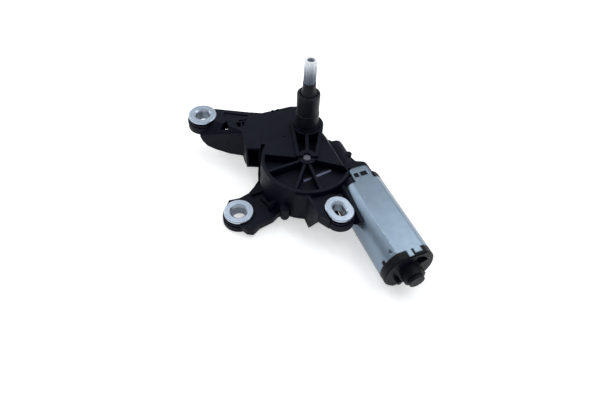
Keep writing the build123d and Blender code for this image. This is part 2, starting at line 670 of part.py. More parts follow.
def tongue_hooks():
    """Hooks of the housing that the windows in the can's tongues snap over."""
    hooks = []
    for side in (-1, 1):
        levels = sorted((side * (CAN_HALF_THICKNESS - 3), side * (CAN_HALF_THICKNESS - 0.3)))
        for low, high in TONGUE_WINDOWS:
            ends = (WINDOW_START + SEAT_GAP, WINDOW_START + WINDOW_LENGTH - 0.8)
            hooks.append(block((low + 0.3, high - 0.3), levels, ends))
    return hooks


def can_room():
    """Space of the can and its tongue beside the drum and the right lug."""
    end = CAN_START + CRADLE_LENGTH + 3
    room = flatted(CAN_RADIUS + 0.15, CAN_HALF_THICKNESS + 1, CAN_START, end)
    room -= flatted(CAN_INNER, CAN_INNER_HALF, CAN_START, CAN_START + SPIGOT_LENGTH + 1)
    under = CAN_HALF_THICKNESS - TONGUE_THICKNESS - SEAT_GAP
    start = CAN_START - TONGUE_LENGTH - 0.4
    return room + block((TONGUE_LEFT - 0.4, TONGUE_RIGHT + 0.4), (under, 20), (start, CAN_START))


def motor_room():
    """Space for the worm, its shaft and bearings inside the housing."""
    room = disc(TAIL_BUSH_RADIUS + SEAT_GAP, SHAFT_START - 2.0, TAIL_BUSH_END)
    room += disc(WORM_PITCH_RADIUS + GEAR_MODULE + 0.8, TAIL_BUSH_END, FRONT_BEARING_START)
    room += disc(
        BEARING_RADIUS + SEAT_GAP, FRONT_BEARING_START, FRONT_BEARING_START + BEARING_LENGTH
    )
    end = CAN_START + SPIGOT_LENGTH
    return room + disc(CORE_RADIUS + 1, FRONT_BEARING_START + BEARING_LENGTH, end)


def cradle():
    """Wing of the housing that hugs the left side of the can; its end leans back downwards."""
    start = CAN_START - MOUTH_FLANGE
    end = CAN_START + CRADLE_LENGTH
    wing = ring(CAN_RADIUS + 2.2, CAN_RADIUS - 1.0, start, end)
    side = Polyline(
        (start, 12.6),
        (start + 9.5, 13.4),
        (end, 11.4),
        (end - 1.0, 8.0),
        (end - 7.0, 2.6),
        (end - 15.0, -9.0),
        (end - 17.0, -13.0),
        (start, -13.0),
        close=True,
    )
    towards_left = Plane(origin=(0, 0, 0), x_dir=(0, 0, 1), z_dir=(-1, 0, 0))
    return wing & extrude(towards_left * make_face(side), amount=40)


def left_arm():
    """Arm to the left lug: a plate level with the deck over a deep front wall and ribs."""
    start, end = LEFT_ARM_FRONT
    plate = [(-50.0, -8.0), (-45.0, 14.4), (-60.0, 15.9), (-76.0, 17.6), (-84.0, 12.0), (-73.0, 3.4)]
    arm = prism(plate, -WALL, 0)
    # The front wall is drawn along its own line, x to the left and y up.
    length = hypot(end[0] - start[0], end[1] - start[1])
    face = Polyline(
        (-1.0, -25.8),
        (11.5, -25.8),
        (23.0, -23.4),
        (29.5, -20.8),
        (33.0, -16.4),
        (length, -12.2),
        (length, -10.2),
        (-1.0, -1.6),
        close=True,
    )
    wall_plane = Plane(
        origin=(start[0], start[1], 0),
        x_dir=(end[0] - start[0], end[1] - start[1], 0),
        z_dir=(end[1] - start[1], start[0] - end[0], 0),
    )
    arm += extrude(wall_plane * make_face(face), amount=2.0)
    arm += arm_slope((-50.0, -7.7, -1.2), (-72.8, 3.7, -0.05), (*end, -10.2))
    web = [(-47.0, -9.0), (-84.0, -2.2), (-78.0, 14.0), (-47.0, 13.0)]
    arm += prism(web, -LEFT_ARM_DEPTH, -LEFT_ARM_FLOOR)
    back = strip((-44.5, 12.8), (-74.0, 16.0), WALL, -LEFT_ARM_DEPTH, 0)
    ribs = [
        strip((-58.5, -5.5), (-56.0, 14.5), 2.0, -LEFT_ARM_DEPTH, -4.0),
        strip((-50.5, -5.0), (-73.5, 3.5), 2.0, -LEFT_ARM_DEPTH, -6.0),
    ]
    for piece in [back, *ribs]:
        arm += piece
    for pocket in (
        [(-55.6, 1.6), (-52.2, 2.4), (-51.4, -3.0), (-53.8, -3.2)],
        [(-51.0, 2.6), (-46.6, 3.8), (-44.6, -2.4), (-50.2, -2.8)],
        [(-53.4, 3.2), (-47.2, 4.8), (-47.4, 6.2), (-53.8, 4.6)],
    ):
        arm -= prism(pocket, -LEFT_ARM_FLOOR, 1)
    arm -= prism([(-66.5, 8.6), (-47.0, 8.4), (-45.0, 10.4), (-66.0, 13.6)], -0.9, 1)
    arm -= prism([(-68.2, -3.0), (-61.0, -4.0), (-63.0, 3.2)], -9, 1)
    return arm - prism([(-69.0, -1.0), (-62.0, -2.2), (-63.0, 9.0), (-68.0, 9.0)], -20, -9)


def arm_slope(inner, corner, outer):
    """Sloping skin from the edge of the arm's plate down to the top of its front wall."""
    drop = 2.0
    top = [Vector(*point) for point in (inner, corner, outer)]
    low = [point - Vector(0, 0, drop) for point in top]
    sides = [
        make_face(Polyline(top[i], top[j], low[j], low[i], close=True))
        for i, j in ((0, 1), (1, 2), (2, 0))
    ]
    ends = [make_face(Polyline(*three, close=True)) for three in (top, low)]
    return Solid(Shell(sides + ends))


def front_arm():
    """Low arm from the drum to the front lug, with ribs on its plate."""
    outline = [
        (-30.0, -34.0),
        (-37.0, -36.7),
        (-39.6, -43.0),
        (-43.2, -49.3),
        (-49.5, -54.4),
        (-57.5, -56.9),
        (-60.8, -68.7),
        (-47.5, -80.0),
        (-42.3, -84.4),
        (-37.6, -84.9),
        (-33.2, -79.1),
        (-23.9, -72.9),
        (-20.2, -68.0),
        (-12.0, -64.0),
    ]
    arm = prism(outline, ARM_PLATE_BOTTOM, ARM_PLATE_TOP)
    ribs = [
        strip((-34.0, -55.0), (-25.0, -64.6), 1.4, ARM_PLATE_TOP, ARM_PLATE_TOP + 2.5),
        strip((-27.5, -66.4), (-17.0, -58.5), 1.6, ARM_PLATE_TOP, ARM_PLATE_TOP + 8.0),
        strip((-41.8, -52.0), (-31.5, -46.6), 2.0, ARM_PLATE_TOP, ARM_PLATE_TOP + 2.0),
    ]
    for rib in ribs:
        arm += rib
    return arm


def right_arm():
    """High arm to the oblong lug: a plate with skirts, a gusset and a web below it."""
    high = RIGHT_LUG_HEIGHT - 2.0
    low = RIGHT_LUG_HEIGHT - LUG_LENGTH - SKIRT_DROP
    outline = [
        (-2.0, -66.0),
        (7.8, -84.2),
        (15.0, -89.4),
        (23.0, -80.0),
        (32.0, -85.0),
        motor_point(CAN_START + 24.0, -CAN_RADIUS - 0.6),
        motor_point(CAN_START + 4.0, -CAN_RADIUS - 0.6),
        (17.6, -66.4),
        (12.0, -62.0),
    ]
    arm = prism(outline, high - WALL, high)
    arm += strip((7.8 + 1.0, -84.2 + 0.4), (16.0, -89.2), 2.0, low, high)
    gusset = Polyline(
        (0, -HOUSING_DEPTH),
        (1.0, -1.6),
        (GUSSET_REACH, high),
        (GUSSET_REACH, low),
        (8.6, 0.4 - BASE_DEPTH),
        close=True,
    )
    run = (sin(radians(31.2)), -cos(radians(31.2)), 0)
    wall = Plane(origin=(-2.0, -68.2, 0), x_dir=run, z_dir=(run[1], -run[0], 0))
    arm += extrude(wall * make_face(gusset), amount=-2.2)
    web = [
        (4.0, -62.0),
        (12.0, -70.0),
        motor_point(CAN_START + 8.0, -CAN_RADIUS - 1.8),
        motor_point(CAN_START - 5.0, 0.8 - CAN_RADIUS),
        (24.0, -48.0),
    ]
    return arm + prism(web, -HOUSING_DEPTH, -HOUSING_DEPTH + 2.4)


def tower():
    """Pedestal, boot seat and tube round the spindle."""
    piece = slab(pedestal_outline(), FLOOR_UNDERSIDE, PEDESTAL_HEIGHT)
    piece += disc(BOOT_RADIUS + 1.4, 0, BOOT_FOOT - 0.6)
    return piece + disc(TOWER_RADIUS, LOWER_BUSH_START, TOWER_TOP)


def pedestal_pockets():
    """Two deep pockets between the flanks of the pedestal and its middle rib."""
    flank = 2.6
    near = PEDESTAL_RADIUS - flank
    far = PEDESTAL_HUB_WIDTH / 2 - flank
    pockets = []
    for side in (-1, 1):
        corners = [(side * 1.2, 0), (side * near, 0), (side * far, HUB[1]), (side * 1.2, HUB[1])]
        pocket = prism(corners, -RECESS_DEPTH, PEDESTAL_HEIGHT + 1)
        pocket -= disc(BOOT_RADIUS + 1.4, -RECESS_DEPTH, PEDESTAL_HEIGHT + 1)
        pockets.append(pocket - disc(HUB_BOSS_RADIUS, -RECESS_DEPTH, PEDESTAL_HEIGHT + 1, HUB))
    return pockets


def recess():
    """Ribbed recess over the front part of the wheel."""
    cut = disc(RECESS_RADIUS, -RECESS_DEPTH, 1, HUB)
    far = 90
    behind = [
        HUB,
        polar(far, RECESS_END, HUB),
        polar(far * 2, 45, HUB),
        polar(far * 2, 135, HUB),
        polar(far, RECESS_START, HUB),
    ]
    cut -= prism(behind, -RECESS_DEPTH, 1)
    cut -= disc(HUB_BOSS_RADIUS, -RECESS_DEPTH, 1, HUB)
    for bearing in RIB_BEARINGS:
        rib_end = polar(RIM_RADIUS, bearing, HUB)
        cut -= strip(HUB, rib_end, RIB_WIDTH, -RECESS_DEPTH, 0)
    ridge = Plane(origin=(-3.4, -51.1, -RECESS_DEPTH - 1.2), x_dir=(0, 0, 1), z_dir=(21.1, 11.9, 0))
    return cut - ridge.location * disc(2.6, 0, 24.2)


def cavity():
    """Everything hollow inside the housing, open to the cover."""
    low = -HOUSING_DEPTH
    deck = make_face(Polyline(*DECK_OUTLINE, close=True))
    room = slab(offset(deck, -WALL, kind=Kind.INTERSECTION), low, -WALL)
    room -= slab(pedestal_outline(0.6), FLOOR_UNDERSIDE, 0)
    room += disc(CHAMBER_RADIUS, low, FLOOR_UNDERSIDE, HUB)
    room -= disc(HUB_BOSS_RADIUS, WHEEL_TOP + FREE_GAP, 0, HUB)
    return room - disc(BUSH_RADIUS + 2.2, LOWER_BUSH_START, 0)


def socket_shell():
    """Shroud of the connector; its left side leans out towards the arm."""
    x, y = SOCKET_CORNER
    right = x + SOCKET_WIDTH
    back = y + SOCKET_LENGTH
    corners = [(x, y), (right, y), (right, back), (x - 4.6, back)]
    return prism(corners, SOCKET_TOP - SOCKET_HEIGHT, SOCKET_TOP)


def socket_mouth():
    x, y = SOCKET_CORNER
    wall = SOCKET_WALL
    return block(
        (x + wall, x + SOCKET_WIDTH - wall),
        (y - 1, y + SOCKET_LENGTH - 4),
        (SOCKET_TOP - SOCKET_HEIGHT + wall, SOCKET_TOP - wall),
    )


def terminal_blades(gap=0.0):
    """Row of blades through the back wall of the socket."""
    x = SOCKET_CORNER[0] + SOCKET_WIDTH / 2
    y = SOCKET_CORNER[1]
    blades = []
    for index in range(TERMINALS):
        z = SOCKET_TOP - SOCKET_HEIGHT / 2 + (index - (TERMINALS - 1) / 2) * TERMINAL_PITCH
        half = TERMINAL_SIZE + gap
        ends = (y + 9.5, y + SOCKET_LENGTH + 2)
        blades.append(block((x - half, x + half), ends, (z - half / 2, z + half / 2)))
    return blades


def gear_housing():
    """Moulded housing: drum, deck, tower, worm tunnel, motor mouth, arms and connector."""
    housing = drum() + prism(DECK_OUTLINE, -HOUSING_DEPTH, 0)
    housing += block((-36.6, -28.0), (-38.0, -20.0), (-HOUSING_DEPTH, -15.0))
    housing -= roof_cut()
    housing += tunnel()
    housing += MOTOR * neck()
    post_top = COVER_SCREWS[0][1] + SCREW_LENGTH + 2.0
    housing += disc(SCREW_BOSS_RADIUS, COVER_EAR_TOP + SEAT_GAP, post_top, FRONT_POST)
    housing += disc(SCREW_BOSS_RADIUS, -HOUSING_DEPTH, -15.0, COVER_SCREWS[3][0])
    housing += disc(2.4, -MOTOR_DROP, -8.2, motor_point(32.0, 5.4))
    pier = polar(RIM_RADIUS - 1.0, 255, HUB), polar(RIM_RADIUS - 0.9, 275, HUB)
    housing += strip(*pier, 6.0, -HOUSING_DEPTH, -2.0)
    crest = strip(motor_point(32.0, 3.4), motor_point(50.0, 9.6), 3.0, -MOTOR_DROP, -9.6)
    housing += crest
    for arm in (left_arm(), front_arm(), right_arm()):
        housing += arm
    housing += MOTOR * cradle()
    for lug in LUGS:
        housing += lug_ring(*lug)
    housing -= MOTOR * can_room()
    housing += tower()
    housing -= cavity()
    for place, _ in COVER_SCREWS[1:3]:
        housing += disc(SCREW_BOSS_RADIUS, -HOUSING_DEPTH, -WALL, place)
    housing += socket_shell()
    housing -= recess()
    for pocket in pedestal_pockets():
        housing -= pocket
    housing += disc(HUB_BOSS_RADIUS, -RECESS_DEPTH, AXLE_PROUD - 0.5, HUB)
    housing -= disc(AXLE_RADIUS + SEAT_GAP, -HOUSING_DEPTH, 5, HUB)
    housing -= socket_mouth()
    for blade in terminal_blades(SEAT_GAP):
        housing -= blade
    housing -= MOTOR * motor_room()
    for hook in tongue_hooks():
        housing += MOTOR * hook
    for lug in LUGS:
        housing -= lug_hole(*lug)
    housing -= disc(BUSH_RADIUS + SEAT_GAP, LOWER_BUSH_START, LOWER_BUSH_START + BUSH_LENGTH)
    housing -= disc(SPINDLE_RADIUS + 0.6, LOWER_BUSH_START, TOWER_TOP)
    housing -= disc(BUSH_RADIUS + SEAT_GAP, TOWER_TOP - BUSH_LENGTH, TOWER_TOP)
    housing -= slab(cover_outline(-0.3), -BASE_DEPTH - 1, -HOUSING_DEPTH)
    housing -= cover_ear(0.3, SEAT_GAP)
    for place, level in COVER_SCREWS:
        housing -= disc(SCREW_RADIUS + SEAT_GAP, level - 4, level + SCREW_LENGTH + 0.6, place)
    return housing - block((-19.0, -16.2), (-13.1, -12.3), (-1.4, 1))


# --- cover ---
def chamber_outline(inset):
    """Plan of the drum and deck together, shrunk by an inset."""
    plan = Pos(*HUB) * Circle(RIM_RADIUS - 0.4 - inset)
    deck = make_face(Polyline(*DECK_OUTLINE, close=True))
    return plan + offset(deck, -0.6 - inset, kind=Kind.INTERSECTION)


def cover_outline(inset):
    """Plan of the cover, which also runs under the worm."""
    plan = chamber_outline(inset)
    edge = TUNNEL_RADIUS - 0.6 - inset
    ends = (TUNNEL_START + 0.6 + inset, NECK_START - inset)
    under_worm = [
        motor_point(ends[0], -18.0),
        motor_point(ends[0], edge),
        motor_point(ends[1], edge),
        motor_point(ends[1], -18.0),
    ]
    return plan + make_face(Polyline(*under_worm, close=True))


def cover_ear(spread, lift):
    """Stepped ear that reaches through a notch in the housing wall to the front post."""
    radius = SCREW_BOSS_RADIUS - 0.1 + spread
    low = COVER_EAR_TOP - COVER_THICKNESS - spread
    top = COVER_EAR_TOP + lift
    ear = disc(radius, low, top, FRONT_POST)
    ear += strip(polar(RIM_RADIUS, POST_BEARING, HUB), FRONT_POST, 2 * radius, low, top)
    root = polar(RIM_RADIUS - 3.0 - spread, POST_BEARING, HUB), polar(RIM_RADIUS + 1.4, POST_BEARING, HUB)
    return ear + strip(*root, 2 * radius, COVER_INNER - 0.01, top)


def back_cover():
    """Moulded cover with screw ears, feet and the elbow of the washer inlet."""
    cover = slab(cover_outline(0), COVER_OUTER, COVER_INNER)
    for place, level in COVER_SCREWS[1:]:
        cover += disc(SCREW_BOSS_RADIUS, level, COVER_INNER, place)
    cover += cover_ear(0, 0)
    cover += disc(6.0, COVER_OUTER, COVER_INNER, polar(RIM_RADIUS - 6.2, POST_BEARING, HUB))
    cover += ring(RIM_RADIUS - 9.0, RIM_RADIUS - 11.4, -BASE_DEPTH, COVER_OUTER, HUB)
    cover += ring(9.0, 6.6, -BASE_DEPTH, COVER_OUTER, HUB)
    for bearing in (30.0, 150.0, 270.0):
        ends = polar(8.0, bearing, HUB), polar(RIM_RADIUS - 10.5, bearing, HUB)
        cover += strip(*ends, 2.0, -BASE_DEPTH, COVER_OUTER)
    cover += strip((-44.0, -10.0), (-39.0, 5.0), 2.4, -BASE_DEPTH, COVER_OUTER)
    pipe = Pos(0, 0, -INLET_DROP) * Rot(-90, 0, 0)
    cover += pipe * disc(NIPPLE_RADIUS, -4.0, NIPPLE_END)
    cover += pipe * cone(NIPPLE_RADIUS + 0.3, NIPPLE_RADIUS, NIPPLE_END - 6.0, NIPPLE_END - 4.0)
    cover += disc(SPIGOT_RADIUS, COVER_INNER, SPINDLE_BOTTOM + 3.6)
    cover -= pipe * disc(INLET_BORE, 0, NIPPLE_END)
    cover -= disc(INLET_BORE, -INLET_DROP, SPINDLE_BOTTOM + 3.6)
    for place, _ in COVER_SCREWS:
        cover -= disc(SCREW_RADIUS + 0.2, -BASE_DEPTH, COVER_EAR_TOP, place)
    band = chamber_outline(GROOVE_OUTER) - chamber_outline(GROOVE_INNER)
    groove = slab(band, COVER_INNER - GROOVE_DEPTH, COVER_INNER)
    groove -= strip(polar(25, POST_BEARING, HUB), FRONT_POST, 7.2, COVER_OUTER, COVER_INNER)
    return cover - groove


def cover_gasket():
    inset = chamber_outline(GROOVE_OUTER + SEAT_GAP) - chamber_outline(GROOVE_INNER - SEAT_GAP)
    cord = slab(inset, COVER_INNER - GROOVE_DEPTH + SEAT_GAP, COVER_INNER - SEAT_GAP / 2)
    return cord - strip(polar(25, POST_BEARING, HUB), FRONT_POST, 7.4, COVER_OUTER, COVER_INNER)


def cover_screws():
    """Pan-head screws, all alike."""
    screws = []
    for place, level in COVER_SCREWS:
        screw = disc(SCREW_RADIUS, level - 1.0, level + SCREW_LENGTH, place)
        screw += cone(2.3, 2.9, level - 1.9, level - SEAT_GAP, place)
        socket = Pos(*place, 0) * slab(RegularPolygon(1.2, 6), level - 1.9, level - 0.7)
        screws.append(screw - socket)
    return Compound(children=screws)


def inlet_seal():
    top = SPINDLE_BOTTOM + 3.4
    return ring(END_BORE_RADIUS - RUNNING_GAP, SPIGOT_RADIUS + SEAT_GAP / 2, top - 1.0, top)


def wheel_axle():
    axle = disc(AXLE_RADIUS, AXLE_BOTTOM, AXLE_PROUD, HUB)
    return chamfer(axle.edges().group_by(Axis.Z)[-1], 0.4)


def wheel_clip():
    high = WHEEL_BOTTOM - 0.15
    return ring(AXLE_RADIUS + 1.1, AXLE_RADIUS + SEAT_GAP, high - 0.5, high, HUB)


# --- park switch and connector ---
def contact_carrier():
    """Plate under the deck that carries the sliding contacts."""
    outline = [(-44.0, -5.0), (-34.0, -5.0), (-27.5, -18.6), (-16.0, -18.6), (-15.6, 8.0), (-36.0, 9.0)]
    return prism(outline, -WALL - 1.6 - SEAT_GAP, -WALL - SEAT_GAP)


def contact_fingers():
    """Spring fingers from the carrier down to the track on the wheel."""
    top = -WALL - 1.6 - 2 * SEAT_GAP
    track = CONTACT_TRACK_TOP + FREE_GAP
    fingers = []
    for index, reach in enumerate((19.5, 17.0, 14.5)):
        outline = Polyline(
            (31.0, top),
            (26.3, top),
            (reach + 0.2, track + 0.6),
            (reach - 1.3, track + 1.7),
            (reach - 1.6, track + 1.3),
            (reach - 0.1, track),
            (26.0, top - 0.5),
            (31.0, top - 0.5),
            close=True,
        )
        finger = extrude(Plane.XZ * make_face(outline), amount=0.8, both=True)
        fingers.append(Pos(*HUB, 0) * Rot(0, 0, 133.0 + 7.0 * index) * finger)
    return Compound(children=fingers)


def terminal_pins():
    return Compound(children=terminal_blades())


# --- motor ---
def motor_can():
    """Drawn tube with two flats, hooked tongues in front and crimp tabs behind."""
    can = flatted(CAN_RADIUS, CAN_HALF_THICKNESS, CAN_START, CAN_END)
    can -= flatted(CAN_INNER, CAN_INNER_HALF, CAN_START, CAN_END)
    for side in (-1, 1):
        inner = side * (CAN_HALF_THICKNESS - TONGUE_THICKNESS)
        levels = sorted((inner, side * CAN_HALF_THICKNESS))
        start = CAN_START - TONGUE_LENGTH
        tongue = block((TONGUE_LEFT, TONGUE_RIGHT), levels, (start, CAN_START + 1))
        tongue = fillet(tongue.edges().filter_by(Axis.Y).group_by(Axis.Z)[0], 2.6)
        for low, high in TONGUE_WINDOWS:
            ends = (WINDOW_START, WINDOW_START + WINDOW_LENGTH)
            tongue -= block((low, high), levels, ends)
        can += tongue
        for low, high, length in CRIMP_TABS:
            can += block((low, high), levels, (CAN_END - 1, CAN_END + length))
    for turn in NOTCH_BEARINGS:
        can -= Rot(0, 0, turn) * key(CAN_RADIUS + 1, CAN_INNER - 0.01)
    dent = prism([(CAN_RADIUS - 0.4, -1.8), (CAN_RADIUS + 1, -1.8), (CAN_RADIUS + 1, 1.8)], 0, 3.6)
    return MOTOR * (can - Pos(0, 0, CAN_END - 4.4) * Rot(0, 0, DENT_BEARING) * dent)


def key(outer, inner):
    """Key between the can's mouth and the end cap, along local X."""
    return block((inner, outer), (-1.5, 1.5), (CAN_END - 2.6, CAN_END + 1))


def field_magnets():
    """Two curved magnets on the round sides of the can."""
    outer = CAN_INNER - SEAT_GAP
    tube = ring(outer, outer - MAGNET_THICKNESS, CORE_START - 2, CORE_END + 2)
    reach = 40
    spread = 48
    rise = reach * tan(radians(spread))
    magnets = []
    for side in (-1, 1):
        wedge = prism(
            [(0, 0), (side * reach, -rise), (side * reach, rise)], CORE_START - 2, CORE_END + 2
        )
        magnets.append(MOTOR * (tube & wedge))
    return Compound(children=magnets)


def armature_shaft():
    start = HUB_ALONG - LEAD * (WORM_TURNS // 2 + 1)
    end = start + LEAD * (WORM_TURNS + 1)
    shaft = worm() + disc(SHAFT_RADIUS, SHAFT_START, start) + disc(SHAFT_RADIUS, end, SHAFT_END)
    return MOTOR * shaft


def slot_bars(radius):
    bars = []
    for index in range(SLOTS):
        at = polar(CORE_RADIUS - SLOT_DEPTH, index * 360 / SLOTS)
        bars.append(disc(radius, CORE_START - 1, CORE_END + 1, at))
    return bars


def armature_core():
    """Laminated core with round slots."""
    core = ring(CORE_RADIUS, SHAFT_RADIUS + SEAT_GAP, CORE_START, CORE_END)
    for bar in slot_bars(SLOT_WIRE_RADIUS + SEAT_GAP):
        core -= bar
    for index in range(SLOTS):
        slit = block((CORE_RADIUS - SLOT_DEPTH, CORE_RADIUS + 1), (-0.6, 0.6), (CORE_START, CORE_END))
        core -= Rot(0, 0, index * 360 / SLOTS) * slit
    return MOTOR * core


def armature_windings():
    """Copper bars in the slots, joined by the end turns."""
    bell = ring(CORE_RADIUS - 0.8, SHAFT_RADIUS + 1.2, 0, 3.6)
    bell = chamfer(bell.edges().group_by(Axis.Z)[-1].sort_by(SortBy.RADIUS)[-1:], 1.4)
    windings = Pos(0, 0, CORE_END + SEAT_GAP) * bell
    windings += Pos(0, 0, CORE_START - SEAT_GAP) * Rot(180, 0, 0) * bell
    for bar in slot_bars(SLOT_WIRE_RADIUS):
        windings += bar
    return MOTOR * windings


def commutator():
    part = ring(
        COMMUTATOR_RADIUS, SHAFT_RADIUS + SEAT_GAP, COMMUTATOR_START, COMMUTATOR_END
    )
    part += ring(COMMUTATOR_RADIUS + 1, SHAFT_RADIUS + SEAT_GAP, CORE_END + 3.7, COMMUTATOR_START)
    for index in range(SLOTS):
        slit = block(
            (COMMUTATOR_RADIUS - 1, COMMUTATOR_RADIUS + 1),
            (-0.25, 0.25),
            (COMMUTATOR_START, COMMUTATOR_END),
        )
        part -= Rot(0, 0, (index + 0.5) * 360 / SLOTS) * slit
    return MOTOR * part


def brush_holder():
    """Insulating plate with a box for each brush."""
    end = CAN_END - SPIGOT_LENGTH - SEAT_GAP
    inner = (CAN_INNER - SEAT_GAP, CAN_INNER_HALF - SEAT_GAP)
    holder = flatted(*inner, HOLDER_START, end)
    holder -= disc(COMMUTATOR_RADIUS + 1.4, HOLDER_START, end)
    half = BRUSH_WIDTH / 2
    for side in (-1, 1):
        levels = sorted((side * (COMMUTATOR_RADIUS + 1.4), side * (CAN_INNER_HALF - 0.4)))
        box = block((-half - 1.2, half + 1.2), levels, (BRUSH_START - 1.2, HOLDER_START))
        gap = (BRUSH_START - SEAT_GAP, BRUSH_START + BRUSH_WIDTH + SEAT_GAP)
        deep = sorted((0, side * (CAN_INNER_HALF - 1.2)))
        holder += box - block((-half - SEAT_GAP, half + SEAT_GAP), deep, gap)
    return MOTOR * holder


def carbon_brushes():
    half = BRUSH_WIDTH / 2
    brushes = []
    for side in (-1, 1):
        near = COMMUTATOR_RADIUS + RUNNING_GAP
        levels = sorted((side * near, side * (near + BRUSH_LENGTH)))
        ends = (BRUSH_START, BRUSH_START + BRUSH_WIDTH)
        brushes.append(MOTOR * block((-half, half), levels, ends))
    return Compound(children=brushes)


def brush_springs():
    """Springs behind the brushes, each drawn as the sleeve that its coils fill."""
    near = COMMUTATOR_RADIUS + RUNNING_GAP + BRUSH_LENGTH + SEAT_GAP
    far = CAN_INNER_HALF - 1.2 - SEAT_GAP
    centre = BRUSH_START + BRUSH_WIDTH / 2
    springs = []
    for side in (-1, 1):
        coil = ring(1.9, 1.3, near, far)
        springs.append(MOTOR * Pos(0, 0, centre) * Rot(-90 * side, 0, 0) * coil)
    return Compound(children=springs)


def shaft_bearing(start):
    """Sintered bearing with a rounded outside."""
    bearing = ring(BEARING_RADIUS, SHAFT_RADIUS + RUNNING_GAP, start, start + BEARING_LENGTH)
    ends = bearing.edges().filter_by(GeomType.CIRCLE).sort_by(SortBy.RADIUS)[-2:]
    return MOTOR * chamfer(ends, 0.8)


def tail_bush():
    low = SHAFT_START + 0.3
    return MOTOR * ring(TAIL_BUSH_RADIUS, SHAFT_RADIUS + RUNNING_GAP, low, TAIL_BUSH_END)


def thrust_button():
    """Hardened button that takes the end load of the worm."""
    low = SHAFT_START - 2.0 + SEAT_GAP
    button = disc(TAIL_BUSH_RADIUS, low, SHAFT_START - 0.6)
    return MOTOR * (button + disc(2.0, low, SHAFT_START - RUNNING_GAP))


def brush_end_cap():
    """Moulded end cap with radial ribs, a bearing hub and notches for the crimp tabs."""
    start = CAN_END + SEAT_GAP
    cap = flatted(CAN_RADIUS - 0.1, CAN_HALF_THICKNESS - 0.1, start, CAP_RIM_END)
    edges = cap.edges().group_by(Axis.Z)[-1]
    cap = chamfer(edges, 1.0)
    cap += flatted(
        CAN_INNER - SEAT_GAP, CAN_INNER_HALF - SEAT_GAP, CAN_END - SPIGOT_LENGTH, start + 0.5
    )
    pocket_floor = CAP_RIM_END - 2.6
    for low, high in ((24, 80), (278, 336)):
        reach = 40
        steps = (low, (low + high) / 2, high)
        wedge = prism([(0, 0), *[polar(reach, step) for step in steps]], pocket_floor, CAP_RIM_END + 1)
        face_ring = ring(CAN_HALF_THICKNESS - 1.8, CAP_HUB_RADIUS, pocket_floor, CAP_RIM_END + 1)
        cap -= face_ring & wedge
    for turn in NOTCH_BEARINGS:
        tab = key(CAN_RADIUS - 0.1, CAN_INNER - 1.0)
        cap += Rot(0, 0, turn) * (tab & block((0, 40), (-1.4, 1.4), (CAN_END - 2.5, CAN_END + 1)))
    cap += disc(CAP_HUB_RADIUS, CAP_RIM_END - 3, CAP_HUB_END - 2.6)
    cap += disc(CAP_HUB_RADIUS - 1.6, CAP_HUB_END - 2.6, CAP_HUB_END)
    for bearing in (215, 262, 335):
        cap += disc(1.7, CAP_RIM_END - 3, CAP_RIM_END + 4.0, polar(10.5, bearing))
    cap -= disc(CORE_RADIUS + 1, CAN_END - SPIGOT_LENGTH, REAR_BEARING_START)
    room = disc(BEARING_RADIUS + SEAT_GAP, REAR_BEARING_START, REAR_BEARING_START + BEARING_LENGTH)
    cap += disc(BEARING_RADIUS + 2, REAR_BEARING_START - 1.0, CAP_RIM_END - 0.5) - disc(
        SHAFT_RADIUS + 1, REAR_BEARING_START - 1.0, CAP_RIM_END
    )
    cap -= room
    cap -= disc(SHAFT_RADIUS + 0.5, REAR_BEARING_START - 2, SHAFT_END + 0.6)
    for side in (-1, 1):
        inner = side * (CAN_HALF_THICKNESS - TONGUE_THICKNESS - SEAT_GAP)
        levels = sorted((inner, side * (CAN_HALF_THICKNESS + 1)))
        for low, high, length in CRIMP_TABS:
            notch = (CAN_END, CAN_END + length + 0.2)
            cap -= block((low - 0.15, high + 0.15), levels, notch)
    return MOTOR * cap


NODES = {
    "gear_housing": gear_housing,
    "back_cover": back_cover,
    "cover_gasket": cover_gasket,
    "cover_screws": cover_screws,
    "inlet_seal": inlet_seal,
    "lower_spindle_bush": lambda: spindle_bush(LOWER_BUSH_START),
    "upper_spindle_bush": lambda: spindle_bush(TOWER_TOP - BUSH_LENGTH),
    "shaft_boot": shaft_boot,
    "left_lug_bush": lambda: lug_bush(*LUGS[0]),
    "front_lug_bush": lambda: lug_bush(*LUGS[1]),
    "right_lug_bush": lambda: lug_bush(*LUGS[2]),
    "left_grommet": lambda: grommet(*LUGS[0]),
    "front_grommet": lambda: grommet(*LUGS[1]),
    "right_grommet": lambda: grommet(*LUGS[2]),
    "wheel_axle": wheel_axle,
    "wheel_clip": wheel_clip,
    "worm_wheel": worm_wheel,
    "contact_ring": contact_ring,
    "crank_pin": crank_pin,
    "toothed_rod": toothed_rod,
    "link_plate": link_plate,
    "link_pin": link_pin,
    "wiper_spindle": wiper_spindle,
    "drive_pinion": drive_pinion,
    "spindle_clip": spindle_clip,
    "journal_clip": journal_clip,
    "contact_carrier": contact_carrier,
    "contact_fingers": contact_fingers,
    "terminal_pins": terminal_pins,
    "motor_can": motor_can,
    "field_magnets": field_magnets,
    "armature_shaft": armature_shaft,
    "armature_core": armature_core,
    "armature_windings": armature_windings,
    "commutator": commutator,
    "brush_holder": brush_holder,
    "carbon_brushes": carbon_brushes,
    "brush_springs": brush_springs,
    "front_shaft_bearing": lambda: shaft_bearing(FRONT_BEARING_START),
    "rear_shaft_bearing": lambda: shaft_bearing(REAR_BEARING_START),
    "tail_bush": tail_bush,
    "thrust_button": thrust_button,
    "brush_end_cap": brush_end_cap,
}

os.makedirs("parts", exist_ok=True)
for node, make in NODES.items():
    export_step(make(), f"parts/{node}.step")
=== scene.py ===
import json
import math

import bmesh
import bpy
from mathutils import Matrix, Vector


